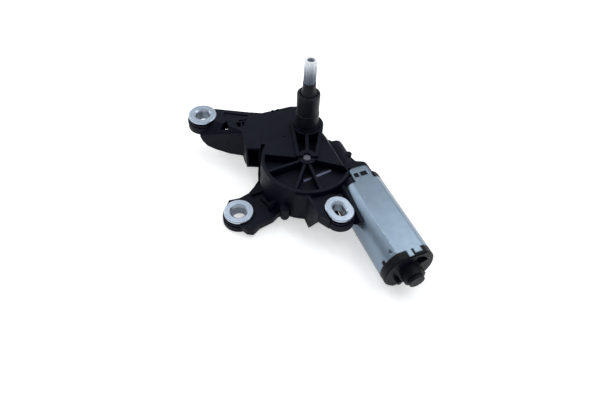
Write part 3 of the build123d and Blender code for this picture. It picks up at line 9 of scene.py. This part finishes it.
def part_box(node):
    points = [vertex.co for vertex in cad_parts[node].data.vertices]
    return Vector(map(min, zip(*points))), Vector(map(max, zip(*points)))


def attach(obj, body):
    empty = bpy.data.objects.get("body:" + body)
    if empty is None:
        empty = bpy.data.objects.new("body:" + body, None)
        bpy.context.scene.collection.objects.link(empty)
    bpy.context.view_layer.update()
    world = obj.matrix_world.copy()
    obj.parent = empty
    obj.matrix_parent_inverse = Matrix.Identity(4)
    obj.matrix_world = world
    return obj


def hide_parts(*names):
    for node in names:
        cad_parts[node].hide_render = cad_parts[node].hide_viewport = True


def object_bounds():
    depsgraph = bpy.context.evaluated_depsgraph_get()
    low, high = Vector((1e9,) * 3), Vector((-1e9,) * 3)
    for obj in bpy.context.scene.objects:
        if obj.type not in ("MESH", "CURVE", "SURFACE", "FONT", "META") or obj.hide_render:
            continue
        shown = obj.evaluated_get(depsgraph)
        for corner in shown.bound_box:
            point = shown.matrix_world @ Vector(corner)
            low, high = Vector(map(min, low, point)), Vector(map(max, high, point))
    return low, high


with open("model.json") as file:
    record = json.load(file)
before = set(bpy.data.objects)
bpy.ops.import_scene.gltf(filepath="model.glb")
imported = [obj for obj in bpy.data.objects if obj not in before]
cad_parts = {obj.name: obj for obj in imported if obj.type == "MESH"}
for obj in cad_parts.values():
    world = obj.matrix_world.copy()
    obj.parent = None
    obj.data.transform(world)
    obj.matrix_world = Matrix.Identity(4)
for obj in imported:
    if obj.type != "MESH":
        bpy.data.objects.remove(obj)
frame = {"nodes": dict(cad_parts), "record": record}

CAD_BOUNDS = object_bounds()
NODES = frame["nodes"]
MM = 0.001
UP = Vector((0, 0, 1))

# ---------------------------------------------------------------- camera

LENS = 30.0
SENSOR_WIDTH = 36.0
CLIP_NEAR, CLIP_FAR = 0.01, 20.0
CAMERA_PLACE = Vector((-15.8, -297.6, 264.8)) * MM
CAMERA_FORWARD = Vector((0.0308, 0.6413, -0.7666)).normalized()
CAMERA_ROLL = math.radians(-3.64)


def make_camera():
    """The photograph's viewpoint, rolled a little about its own axis."""
    level = CAMERA_FORWARD.cross(UP).normalized()
    down = -level.cross(CAMERA_FORWARD)
    right = math.cos(CAMERA_ROLL) * level + math.sin(CAMERA_ROLL) * down
    up = right.cross(CAMERA_FORWARD)
    data = bpy.data.cameras.new("camera")
    data.lens = LENS
    data.sensor_width = SENSOR_WIDTH
    data.sensor_fit = "HORIZONTAL"
    data.clip_start = CLIP_NEAR
    data.clip_end = CLIP_FAR
    camera = bpy.data.objects.new("camera", data)
    bpy.context.scene.collection.objects.link(camera)
    turn = Matrix((right, up, -CAMERA_FORWARD)).transposed().to_4x4()
    camera.matrix_world = Matrix.Translation(CAMERA_PLACE) @ turn
    bpy.context.scene.camera = camera


make_camera()

# ---------------------------------------------------------------- material nodes

MIX_LOW, MIX_HIGH, MIX_COLOUR = 6, 7, 2      # where a Mix node keeps its colour sockets
WAVE_TURN = 20.0         # radians that a Wave node goes through over one unit


class Nodes:
    """A material's node tree, with short ways to add and join nodes."""

    def __init__(self, name):
        self.material = bpy.data.materials.new(name)
        self.material.use_nodes = True
        self.tree = self.material.node_tree
        self.shader = self.tree.nodes["Principled BSDF"]

    def add(self, kind, **values):
        """New node of that kind with those settings."""
        node = self.tree.nodes.new(kind)
        for key, value in values.items():
            setattr(node, key, value)
        return node

    def join(self, out, into):
        """Link from one node's output to another's input."""
        self.tree.links.new(out, into)

    def set(self, **values):
        """Sets or links the shader's sockets, named with _ for each space."""
        for key, value in values.items():
            socket = self.shader.inputs[key.replace("_", " ")]
            if isinstance(value, bpy.types.NodeSocket):
                self.join(value, socket)
            else:
                socket.default_value = value

    def place(self, scale=(1, 1, 1), at=(0, 0, 0), turn=(0, 0, 0)):
        """Position on the object, seen from a moved, turned and stretched origin."""
        coordinate = self.add("ShaderNodeTexCoord")
        mapping = self.add("ShaderNodeMapping", vector_type="TEXTURE")
        mapping.inputs["Location"].default_value = at
        mapping.inputs["Rotation"].default_value = turn
        mapping.inputs["Scale"].default_value = scale
        self.join(coordinate.outputs["Object"], mapping.inputs["Vector"])
        return mapping.outputs["Vector"]

    def z_part(self, vector):
        """Z part of a vector."""
        node = self.add("ShaderNodeSeparateXYZ")
        self.join(vector, node.inputs["Vector"])
        return node.outputs["Z"]

    def height(self):
        """Height of the surface in the CAD frame."""
        return self.z_part(self.place())

    def facing_up(self):
        """Height part of the surface direction: 1 on level tops, 0 on upright walls."""
        return self.z_part(self.add("ShaderNodeNewGeometry").outputs["Normal"])

    def noise(self, size, detail=3.0, where=None):
        """Noise with features of about that size."""
        node = self.add("ShaderNodeTexNoise")
        node.inputs["Scale"].default_value = 1.0 / size
        node.inputs["Detail"].default_value = detail
        self.join(where or self.place(), node.inputs["Vector"])
        return node.outputs["Fac"]

    def rings(self, centre, pitch):
        """Wavering rings round an upright axis through centre, that far apart."""
        node = self.add("ShaderNodeTexWave", wave_type="RINGS", rings_direction="Z")
        node.inputs["Scale"].default_value = 2 * math.pi / WAVE_TURN / pitch
        node.inputs["Distortion"].default_value = 1.5
        node.inputs["Detail"].default_value = 3.0
        self.join(self.place(at=centre), node.inputs["Vector"])
        return node.outputs["Fac"]

    def ramp(self, value, low, high, start=0.3, end=0.7):
        """Goes from low to high while the value goes from start to end."""
        node = self.add("ShaderNodeMapRange")
        node.inputs["From Min"].default_value = start
        node.inputs["From Max"].default_value = end
        node.inputs["To Min"].default_value = low
        node.inputs["To Max"].default_value = high
        self.join(value, node.inputs["Value"])
        return node.outputs["Result"]

    def steepened(self, value, power):
        """Value raised to a power."""
        node = self.add("ShaderNodeMath", operation="POWER")
        self.join(value, node.inputs[0])
        node.inputs[1].default_value = power
        return node.outputs["Value"]

    def blend(self, value, low, high):
        """Goes from one colour to another while the value goes from 0 to 1."""
        node = self.add("ShaderNodeMix", data_type="RGBA")
        for socket, colour in ((node.inputs[MIX_LOW], low), (node.inputs[MIX_HIGH], high)):
            if isinstance(colour, bpy.types.NodeSocket):
                self.join(colour, socket)
            else:
                socket.default_value = (*colour, 1)
        self.join(value, node.inputs[0])
        return node.outputs[MIX_COLOUR]

    def cloudy(self, dark, light, size, detail):
        """Colour that drifts between two tones in patches of that size."""
        return self.blend(self.ramp(self.noise(size, detail), 0, 1), dark, light)

    def rounding(self, radius):
        """Surface direction with the edges seen as rounded."""
        node = self.add("ShaderNodeBevel")
        node.samples = 4
        node.inputs["Radius"].default_value = radius
        return node.outputs["Normal"]

    def bump(self, height, strength, distance, after=None):
        """Surface direction roughened by a height, on top of an earlier direction."""
        node = self.add("ShaderNodeBump")
        node.inputs["Strength"].default_value = strength
        node.inputs["Distance"].default_value = distance
        self.join(height, node.inputs["Height"])
        if after is not None:
            self.join(after, node.inputs["Normal"])
        return node.outputs["Normal"]

    def seen_white(self, strength):
        """Adds white light that only the view and what it sees in metal and glass pick up."""
        path = self.add("ShaderNodeLightPath")
        seen = path.outputs["Is Camera Ray"]
        for ray in ("Is Glossy Ray", "Is Transmission Ray"):
            both = self.add("ShaderNodeMath", operation="MAXIMUM")
            self.join(seen, both.inputs[0])
            self.join(path.outputs[ray], both.inputs[1])
            seen = both.outputs[0]
        glow = self.add("ShaderNodeEmission")
        glow.inputs["Strength"].default_value = strength
        lit = self.add("ShaderNodeAddShader")
        self.join(self.shader.outputs[0], lit.inputs[0])
        self.join(glow.outputs[0], lit.inputs[1])
        mix = self.add("ShaderNodeMixShader")
        self.join(seen, mix.inputs[0])
        self.join(self.shader.outputs[0], mix.inputs[1])
        self.join(lit.outputs[0], mix.inputs[2])
        self.join(mix.outputs[0], self.tree.nodes["Material Output"].inputs["Surface"])


# ---------------------------------------------------------------- kinds of material

PAINTED_WALL_SHADE = (0.4, 0.5, 0.85)       # painted shade on a plastic's upright walls, as shares of its dark tone
PAINTED_FLANK_SHADE = (0.85,) * 3           # painted shade on a metal's upright walls
PAINTED_BORE_SHADE = (0.36,) * 3            # painted shade down the bore of a bush
STREAK_TINT = (0.8,) * 3           # the darker streaks along the flutes


def tinted(colour, shares):
    """Colour with its red, green and blue each taken to a share."""
    return [value * share for value, share in zip(colour, shares)]


def plastic(name, dark, light, rough=0.5, gloss=0.1):
    """Moulded plastic: fine grain, cloudy gloss, and painted shade that makes the walls darker and
    bluer than the tops.
    """
    m = Nodes(name)
    face = m.cloudy(dark, light, size=9 * MM, detail=4)
    # painted shade: faces turned away from straight up take the darker, bluer wall tone
    level = m.ramp(m.facing_up(), 0, 1, start=0.1, end=0.9)
    m.set(Base_Color=m.blend(level, tinted(dark, PAINTED_WALL_SHADE), face))
    m.set(Roughness=m.ramp(m.noise(size=4 * MM, detail=5), rough - 0.06, rough + 0.08))
    m.set(Specular_IOR_Level=gloss)
    grain = m.noise(size=0.25 * MM, detail=2)
    edges = m.rounding(radius=0.25 * MM)
    m.set(Normal=m.bump(grain, strength=0.25, distance=0.03 * MM, after=edges))
    return m.material


def rubber(name, dark, light, rough=0.5):
    """Soft rubber: patchy tone, uneven sheen and a fine pitted skin."""
    m = Nodes(name)
    m.set(Base_Color=m.cloudy(dark, light, size=6 * MM, detail=5))
    m.set(Roughness=m.ramp(m.noise(size=2 * MM, detail=3), rough - 0.05, rough + 0.1))
    m.set(Specular_IOR_Level=0.2)
    pits = m.noise(size=0.4 * MM, detail=3)
    m.set(Normal=m.bump(pits, strength=0.3, distance=0.04 * MM))
    return m.material


def metal(name, dark, light, rough=0.35, stretch=(1, 1, 1), turn=(0, 0, 0), edge=0.15 * MM,
          marks=0.04):
    """Plated metal with drawing marks stretched along one direction, and painted shade darkening
    its walls.
    """
    m = Nodes(name)
    streak = m.noise(size=0.3 * MM, detail=3, where=m.place(scale=stretch, turn=turn))
    face = m.cloudy(dark, light, size=7 * MM, detail=5)
    # painted shade: faces turned away from straight up take the darker wall tone
    level = m.ramp(m.facing_up(), 0, 1, start=-0.1, end=0.8)
    m.set(Metallic=1.0)
    m.set(Base_Color=m.blend(level, tinted(dark, PAINTED_FLANK_SHADE), face))
    m.set(Roughness=m.ramp(streak, rough - 0.03, rough + 0.05))
    edges = m.rounding(radius=edge)
    m.set(Normal=m.bump(streak, strength=marks, distance=0.02 * MM, after=edges))
    return m.material


def turned(name, centre, dark, light, rough):
    """Metal turned round an upright axis, with its top at centre, and painted shade darkening it
    down its bore.
    """
    m = Nodes(name)
    rings = m.rings(centre, pitch=2.2 * MM)
    face = m.cloudy(dark, light, size=5 * MM, detail=5)
    # painted shade: the colour darkens from the lip down into the bore
    lip, shade = centre[2] - 1.2 * MM, centre[2] - 3.2 * MM
    depth = m.ramp(m.height(), 1, 0, start=shade, end=lip)
    m.set(Metallic=1.0)
    m.set(Base_Color=m.blend(depth, face, tinted(dark, PAINTED_BORE_SHADE)))
    m.set(Roughness=m.ramp(rings, rough - 0.03, rough + 0.04, start=0, end=1))
    edges = m.rounding(radius=0.2 * MM)
    m.set(Normal=m.bump(rings, strength=0.06, distance=0.01 * MM, after=edges))
    return m.material


def fluted(name, dark, pale, foot, tip):
    """Drawn steel with a painted highlight at its bright, less metallic tip and painted shade
    darkening it towards the foot of its flutes.
    """
    m = Nodes(name)
    streak = m.noise(size=0.4 * MM, detail=3, where=m.place(scale=(1, 1, 10)))
    streaks_and_shade = m.blend(m.ramp(streak, 0, 1), tinted(dark, STREAK_TINT), dark)
    # painted highlight and shade: pale towards the tip, dark and streaked towards the foot, and
    # less metallic at the very tip so the pale shows
    rise = m.steepened(m.ramp(m.height(), 0, 1, start=foot, end=tip), power=1.8)
    m.set(Base_Color=m.blend(rise, streaks_and_shade, pale))
    m.set(Metallic=m.ramp(m.height(), 1, 0.2, start=tip - 1.2 * MM, end=tip - 0.1 * MM))
    m.set(Roughness=m.ramp(streak, 0.33, 0.42))
    edges = m.rounding(radius=0.2 * MM)
    m.set(Normal=m.bump(streak, strength=0.04, distance=0.02 * MM, after=edges))
    return m.material


# ---------------------------------------------------------------- the part's materials

MOTOR_BEARING = math.radians(-67.3)
ALONG_MOTOR = {"stretch": (14, 1, 1), "turn": (0, 0, MOTOR_BEARING)}
SPINDLE_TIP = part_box("wiper_spindle")[1].z
FLUTE_FOOT = SPINDLE_TIP - 17 * MM

PLASTICS = {
    "housing_plastic": dict(dark=(0.0038, 0.0048, 0.0102), light=(0.0064, 0.0078, 0.0155)),
    "cap_plastic": dict(dark=(0.0045, 0.0055, 0.0080), light=(0.0080, 0.0092, 0.0130), rough=0.42),
    "carrier_plastic": dict(dark=(0.02, 0.02, 0.022), light=(0.03, 0.03, 0.034)),
    "gear_plastic": dict(dark=(0.70, 0.66, 0.55), light=(0.80, 0.77, 0.68), rough=0.35),
    "brush_carbon": dict(dark=(0.02, 0.02, 0.02), light=(0.04, 0.04, 0.04), rough=0.6),
}
RUBBERS = {
    "seal_rubber": dict(dark=(0.010, 0.010, 0.011), light=(0.018, 0.018, 0.02)),
    "boot_rubber": dict(dark=(0.004, 0.005, 0.009), light=(0.008, 0.010, 0.016), rough=0.45),
    "grommet_rubber": dict(dark=(0.006, 0.006, 0.008), light=(0.012, 0.012, 0.014)),
}
METALS = {
    "can_steel": dict(dark=(0.200, 0.262, 0.330), light=(0.230, 0.296, 0.366), rough=0.33,
                      edge=1.6 * MM, marks=0.02, **ALONG_MOTOR),
    "pin_steel": dict(dark=(0.15, 0.16, 0.18), light=(0.20, 0.21, 0.23), rough=0.4, marks=0.02),
    "screw_steel": dict(dark=(0.30, 0.32, 0.35), light=(0.42, 0.43, 0.46), rough=0.38),
    "gear_steel": dict(dark=(0.30, 0.30, 0.32), light=(0.40, 0.40, 0.42), rough=0.34),
    "shaft_steel": dict(dark=(0.42, 0.42, 0.44), light=(0.52, 0.52, 0.54), rough=0.28,
                        **ALONG_MOTOR),
    "core_steel": dict(dark=(0.16, 0.16, 0.17), light=(0.24, 0.24, 0.25), rough=0.5),
    "magnet_ferrite": dict(dark=(0.05, 0.05, 0.052), light=(0.08, 0.08, 0.082), rough=0.6),
    "spring_steel": dict(dark=(0.4, 0.4, 0.42), light=(0.5, 0.5, 0.52), rough=0.3),
    "bearing_bronze": dict(dark=(0.36, 0.25, 0.14), light=(0.46, 0.33, 0.2), rough=0.45),
    "contact_brass": dict(dark=(0.55, 0.42, 0.18), light=(0.68, 0.54, 0.27), rough=0.3),
    "winding_copper": dict(dark=(0.42, 0.16, 0.06), light=(0.6, 0.27, 0.12), rough=0.28),
    "commutator_copper": dict(dark=(0.5, 0.25, 0.13), light=(0.64, 0.34, 0.2), rough=0.3),
}


def make_materials():
    """The material of each slot, by the slot's name; the bushes' are made one by one."""
    made = {}
    for make, looks in ((plastic, PLASTICS), (rubber, RUBBERS), (metal, METALS)):
        for slot, look in looks.items():
            made[slot] = make(slot, **look)
    made["cover_plastic"] = made["housing_plastic"]
    # painted highlight at the spindle's tip, painted shade towards the foot of its flutes
    made["spindle_steel"] = fluted("spindle_steel", (0.155, 0.19, 0.25), (0.90, 0.93, 0.97),
                                   FLUTE_FOOT, SPINDLE_TIP)
    return made


def bush_material(node):
    """Turned steel whose rings run round that bush's own axis."""
    low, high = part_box(node)
    middle = (low + high) / 2
    return turned(f"{node}_steel", (middle.x, middle.y, high.z),
                  (0.44, 0.52, 0.63), (0.54, 0.62, 0.73), rough=0.34)


def finish_nodes():
    """Gives each CAD node its slot's material; the bushes and terminals get their own."""
    tin = metal("terminal_tin", (0.03, 0.03, 0.032), (0.05, 0.05, 0.053), rough=0.5)
    for part in frame["record"]["subparts"]:
        node, slot = part["node"], part["material_slot"]
        if slot == "bush_steel":
            material = bush_material(node)
        elif node == "terminal_pins":
            material = tin
        else:
            material = MATERIALS[slot]
        mesh = NODES[node].data
        mesh.materials.clear()
        mesh.materials.append(material)
        for face in mesh.polygons:
            face.material_index = 0


MATERIALS = make_materials()
finish_nodes()

# ---------------------------------------------------------------- making pieces

SHARP_ANGLE = 0.6        # radians; a solid's edges that turn by more are rounded
CORNER_SHARE = 0.49      # of a profile's side, the most that one corner's curve takes
SWEEP_TURNS = 72


def make_piece(name, bm, slot, body="housing"):
    """Object of that mesh, in its slot's material, riding on a body."""
    mesh = bpy.data.meshes.new(name)
    bm.to_mesh(mesh)
    bm.free()
    mesh.materials.append(MATERIALS[slot])
    piece = bpy.data.objects.new(name, mesh)
    bpy.context.scene.collection.objects.link(piece)
    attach(piece, body)
    return piece


def repaint(piece, material):
    """Another material for a piece, in place of its slot's material."""
    piece.data.materials.clear()
    piece.data.materials.append(material)


def mm(*corners):
    """Profile corners, given in mm, in metres."""
    return [tuple(value * MM for value in corner) for corner in corners]


def rounded(outline, steps=5):
    """Closed profile of (radius, height, corner radius) with each corner turned into a curve."""
    points = []
    for index, (radius, height, fillet) in enumerate(outline):
        here = Vector((radius, height))
        before = Vector(outline[index - 1][:2]) - here
        after = Vector(outline[(index + 1) % len(outline)][:2]) - here
        longest = CORNER_SHARE * min(before.length, after.length)
        run = min(fillet / math.tan(before.angle(after) / 2), longest)
        start = here + before.normalized() * run
        end = here + after.normalized() * run
        for step in range(steps + 1):
            t = step / steps
            points.append(start * (1 - t) ** 2 + here * 2 * t * (1 - t) + end * t ** 2)
    return points


def sweep(name, profile, slot, body="housing", centre=(0, 0, 0), travel=0.0, bearing=0.0,
          wobble=None):
    """Closed profile carried round an upright axis, or round an oblong with that travel."""
    run = Vector((math.cos(bearing), math.sin(bearing), 0)) * travel / 2
    columns = []
    for index in range(SWEEP_TURNS):
        angle = bearing + math.pi / 2 + 2 * math.pi * index / SWEEP_TURNS
        out = Vector((math.cos(angle), math.sin(angle), 0))
        side = -1 if index < SWEEP_TURNS / 2 else 1
        if travel and index in (0, SWEEP_TURNS // 2):
            columns.append((out, -run * side, angle))
        columns.append((out, run * side, angle))
    bm = bmesh.new()
    rows = []
    for out, shift, angle in columns:
        row = []
        for point in profile:
            swell = wobble(angle, point.y) if wobble else 0.0
            place = Vector(centre) + shift + out * (point.x + swell) + UP * point.y
            row.append(bm.verts.new(place))
        rows.append(row)
    for index, row in enumerate(rows):
        following = rows[(index + 1) % len(rows)]
        for k in range(len(profile)):
            nxt = (k + 1) % len(profile)
            bm.faces.new((row[k], following[k], following[nxt], row[nxt]))
    bmesh.ops.recalc_face_normals(bm, faces=bm.faces)
    for face in bm.faces:
        face.smooth = True
    return make_piece(name, bm, slot, body)


def loft(name, rows, slot, bevel=0.2):
    """Piece through closed rings of points in mm, its ends capped and its edges rounded."""
    bm = bmesh.new()
    rings = [[bm.verts.new(Vector(point) * MM) for point in row] for row in rows]
    bm.faces.new(rings[0])
    bm.faces.new(rings[-1])
    for ring, following in zip(rings, rings[1:]):
        for k in range(len(ring)):
            nxt = (k + 1) % len(ring)
            bm.faces.new((ring[k], ring[nxt], following[nxt], following[k]))
    bmesh.ops.recalc_face_normals(bm, faces=bm.faces)
    if bevel:
        sharp = [edge for edge in bm.edges if edge.calc_face_angle(0) > SHARP_ANGLE]
        bmesh.ops.bevel(bm, geom=sharp, offset=bevel * MM, segments=2, affect="EDGES")
    return make_piece(name, bm, slot)


def leaning(side, degrees):
    """Direction that far from side towards straight up."""
    turn = math.radians(degrees)
    return side * math.cos(turn) + UP * math.sin(turn)


# ---------------------------------------------------------------- rubber pieces, in mm

BOOT_RADIUS = 8.9
BOOT_BORE = 7.5                 # radius inside the sleeve
BOOT_LIP_BORE = 5.2             # radius inside the lip round the spindle
BOOT_SEAM_RISE = 11.2           # parting seam above the boot's foot
SAG_DEPTH = 0.06
SAG_LOBES = 3
SAG_TWIST = 180.0               # radians per metre of height
SKIRT_BORE = 4.72               # radius, close on the spindle
SKIRT_RISE = 9.2                # above the boot's top
GROMMET_BEARING = math.radians(116.0)
GROMMET_WALL = 2.86             # from a grommet's rim to its bore
GROMMET_GROOVE = 1.4            # depth of the groove that the arm's plate sits in
GROMMET_FLANGE = 1.2


def sag(angle, height):
    """Slight unevenness of the moulded sleeve, in metres."""
    return SAG_DEPTH * MM * math.sin(SAG_LOBES * angle + height * SAG_TWIST)


def boot():
    """Rubber sleeve: ribbed foot, parting seam, straight upper part and a rolled rim."""
    low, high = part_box("shaft_boot")
    foot, top = low.z / MM, high.z / MM
    wide = BOOT_RADIUS
    seam = foot + BOOT_SEAM_RISE
    profile = mm(
        (BOOT_BORE, foot, 0.1), (wide - 0.5, foot, 0.3), (wide - 0.1, foot + 0.9, 0.3),
        (wide + 0.05, seam - 0.9, 0.4), (wide + 0.1, seam - 0.1, 0.25),
        (wide - 0.35, seam + 0.25, 0.15), (wide - 0.35, seam + 0.9, 0.3),
        (wide - 0.15, top - 3.6, 1.0), (wide - 0.2, top - 0.7, 1.0),
        (wide - 1.1, top, 0.8), (wide - 2.4, top - 0.05, 0.8),
        (wide - 3.1, top - 1.6, 0.6), (BOOT_LIP_BORE, top - 1.9, 0.2),
        (BOOT_LIP_BORE, top - 2.7, 0.1), (BOOT_BORE, top - 2.75, 0.1),
    )
    piece = sweep("boot_sleeve", rounded(profile), "boot_rubber", wobble=sag)
    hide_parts("shaft_boot")


def spindle_skirt():
    """Thin dark sleeve on the spindle, from the boot's dish up to the bright end."""
    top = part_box("shaft_boot")[1].z / MM
    profile = mm(
        (SKIRT_BORE, top - 1.7, 0.1), (6.6, top - 1.7, 0.1), (6.35, top - 0.7, 0.5),
        (5.3, top + 2.2, 2.0), (4.86, top + 6.0, 1.0), (4.84, top + SKIRT_RISE, 0.1),
        (SKIRT_BORE, top + SKIRT_RISE, 0.05),
    )
    sweep("spindle_skirt", rounded(profile), "boot_rubber", body="spindle")


def grommet(side):
    """Oblong rubber ring between a bush and its arm: two flanges with the arm's groove between."""
    low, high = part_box(f"{side}_grommet")
    half = (high - low) / 2
    along_x, along_y = abs(math.cos(GROMMET_BEARING)), abs(math.sin(GROMMET_BEARING))
    reach = (half.y - half.x) / (along_y - along_x)
    rim = (half.x - reach * along_x) / MM
    bore, waist = rim - GROMMET_WALL, rim - GROMMET_GROOVE
    tall = half.z / MM
    edge = tall - GROMMET_FLANGE
    inside = edge - 0.05
    profile = mm(
        (bore, -tall, 0.1), (rim, -tall, 0.5), (rim, -edge, 0.4), (waist, -inside, 0.2),
        (waist, inside, 0.2), (rim, edge, 0.4), (rim, tall, 0.5), (bore, tall, 0.1),
    )
    piece = sweep(f"{side}_grommet_ring", rounded(profile, steps=3), "grommet_rubber",
                  centre=(low + high) / 2, travel=2 * reach, bearing=GROMMET_BEARING)
    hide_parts(f"{side}_grommet")


boot()
spindle_skirt()
for arm in ("left", "front", "right"):
    grommet(arm)

# ---------------------------------------------------------------- moulded details, a painted highlight and a painted shadow, in mm

COLLAR_RADII = (9.6, 12.2)
COLLAR_LEVELS = (-6.8, 2.3)
COLLAR_BEARINGS = (207.0, 333.0)
COLLAR_STEPS = 28

CREST_START = Vector((-3.4, -51.1, -8.4))
CREST_ALONG = Vector((21.1, 11.9, 0)).normalized()
CREST_ENDS = (0.3, 23.9)
CREST_SKIN = 0.5
CREST_STEPS = 12

NUB_PLACES = ((-27.6, 17.4), (-23.4, 19.1))
NUB_LEVELS = ((-1.6, 1.0), (0.35, 1.0), (0.7, 0.6))       # height and half width

MOTOR_OFFSET = 16.94     # motor axis from the spindle, across the motor's direction
CAN_RADIUS = 18.8
DENT_CORNERS = ((125.0, 129.0), (128.8, 126.3), (127.4, 135.5))       # along, degrees round
DENT_LEVELS = (-0.5, 0.13)       # from the can's skin


def pedestal_collar():
    """Curved web under the boot's foot, where the pedestal's pockets begin."""
    inner, outer = COLLAR_RADII
    bottom, top = COLLAR_LEVELS
    first, last = COLLAR_BEARINGS
    section = ((inner, bottom), (outer, bottom), (outer, top), (inner, top))
    rows = []
    for step in range(COLLAR_STEPS + 1):
        turn = math.radians(first + (last - first) * step / COLLAR_STEPS)
        out = Vector((math.cos(turn), math.sin(turn), 0))
        rows.append([out * radius + UP * height for radius, height in section])
    loft("pedestal_collar", rows, "housing_plastic")


def crest_strip(name, radius, angles):
    """Curved strip along the recess's ridge, between two angles round its axis."""
    side = Vector((CREST_ALONG.y, -CREST_ALONG.x, 0))
    near, far = CREST_ENDS
    under = radius - CREST_SKIN
    section = ((near, radius), (far, radius), (far, under), (near, under))
    rows = []
    for step in range(CREST_STEPS + 1):
        out = leaning(side, angles[0] + (angles[1] - angles[0]) * step / CREST_STEPS)
        rows.append([CREST_START + CREST_ALONG * reach + out * r for reach, r in section])
    return loft(name, rows, "housing_plastic", bevel=0)


def recess_crest():
    """Skin of the ridge on the recess floor, with a painted highlight: a pale glossy strip along
    its front.
    """
    crest_strip("recess_crest", 2.66, (150, 35))
    # painted highlight: pale strip along the ridge's front
    line = crest_strip("recess_crest_highlight", 2.76, (58, 20))
    repaint(line, plastic("crest_painted_highlight", (0.20, 0.22, 0.32), (0.30, 0.32, 0.44), rough=0.3,
                          gloss=0.4))


def deck_nubs():
    """Two small latch nubs on the back edge of the deck."""
    for index, (x, y) in enumerate(NUB_PLACES):
        rows = []
        for z, half_width in NUB_LEVELS:
            left, right = x - half_width, x + half_width
            rows.append([(left, y - 1.6, z), (right, y - 1.2, z), (right, y + 0.3, z),
                         (left, y - 0.1, z)])
        loft(f"deck_nub_{index + 1}", rows, "housing_plastic", bevel=0.15)


def can_dent_shade():
    """Dark triangular patch just proud of the can's skin: painted shadow standing in for the
    hollow of the punched dent near the end of the can.
    """
    along = Vector((math.cos(MOTOR_BEARING), math.sin(MOTOR_BEARING), 0))
    across = Vector((-along.y, along.x, 0))
    low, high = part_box("motor_can")
    origin = across * MOTOR_OFFSET + UP * (low.z + high.z) / 2 / MM
    rows = []
    for level in DENT_LEVELS:
        radius = CAN_RADIUS + level
        rows.append([origin + along * reach + leaning(across, degrees) * radius
                     for reach, degrees in DENT_CORNERS])
    piece = loft("can_dent_shade", rows, "can_steel", bevel=0)
    # painted shadow: dark patch where the dent's hollow is
    repaint(piece, metal("dent_shadow", (0.050, 0.065, 0.082), (0.110, 0.138, 0.170),
                         rough=0.45))


pedestal_collar()
recess_crest()
deck_nubs()
can_dent_shade()

# ---------------------------------------------------------------- stage, in metres

FLOOR_REACH = 3.0
FLOOR_GAP = 0.0002       # keeps the floor's face clear of the part's lowest faces
FLOOR_GREY = 0.86
FLOOR_GLOW = 0.48        # brings the seen floor near white and keeps the part's shadow
SKY_COLOUR = (0.95, 0.97, 1.0)
SKY_STRENGTH = 0.5


def make_floor():
    """Plain pale floor just under the part."""
    mesh = bpy.data.meshes.new("floor")
    corners = ((-1, -1, 0), (1, -1, 0), (1, 1, 0), (-1, 1, 0))
    mesh.from_pydata([Vector(corner) * FLOOR_REACH for corner in corners], [], [(0, 1, 2, 3)])
    floor = bpy.data.objects.new("floor", mesh)
    floor.location.z = CAD_BOUNDS[0].z - FLOOR_GAP
    bpy.context.scene.collection.objects.link(floor)
    m = Nodes("floor_white")
    m.set(Base_Color=(FLOOR_GREY, FLOOR_GREY, FLOOR_GREY, 1), Roughness=0.9,
          Specular_IOR_Level=0.0)
    m.seen_white(FLOOR_GLOW)
    mesh.materials.append(m.material)


def make_world():
    """Even, faintly cool light from all round."""
    world = bpy.data.worlds.new("world")
    bpy.context.scene.world = world
    world.use_nodes = True
    sky = world.node_tree.nodes["Background"]
    sky.inputs["Color"].default_value = (*SKY_COLOUR, 1)
    sky.inputs["Strength"].default_value = SKY_STRENGTH


def soft_light(name, place, aim, size, watts, colour):
    """Rectangular lamp at a place, aimed at a point."""
    data = bpy.data.lights.new(name, "AREA")
    data.shape = "RECTANGLE"
    data.size, data.size_y = size
    data.energy = watts
    data.color = colour
    lamp = bpy.data.objects.new(name, data)
    lamp.location = place
    lamp.rotation_mode = "QUATERNION"
    lamp.rotation_quaternion = (Vector(aim) - Vector(place)).to_track_quat("-Z", "Y")
    bpy.context.scene.collection.objects.link(lamp)


make_floor()
make_world()
soft_light("key", place=(0.55, 0.25, 0.95), aim=(0, -0.03, 0), size=(1.0, 1.0), watts=6.2,
           colour=(0.98, 0.99, 1.0))
soft_light("side", place=(-0.81, 0.37, 0.50), aim=(0.05, -0.08, 0), size=(0.45, 0.6), watts=1.7,
           colour=(0.95, 0.98, 1.0))
soft_light("strip", place=(-0.42, 0.48, 0.74), aim=(0.05, -0.08, 0), size=(0.05, 0.8), watts=1.8,
           colour=(0.95, 0.98, 1.0))

bpy.context.scene.view_settings.view_transform = "Standard"
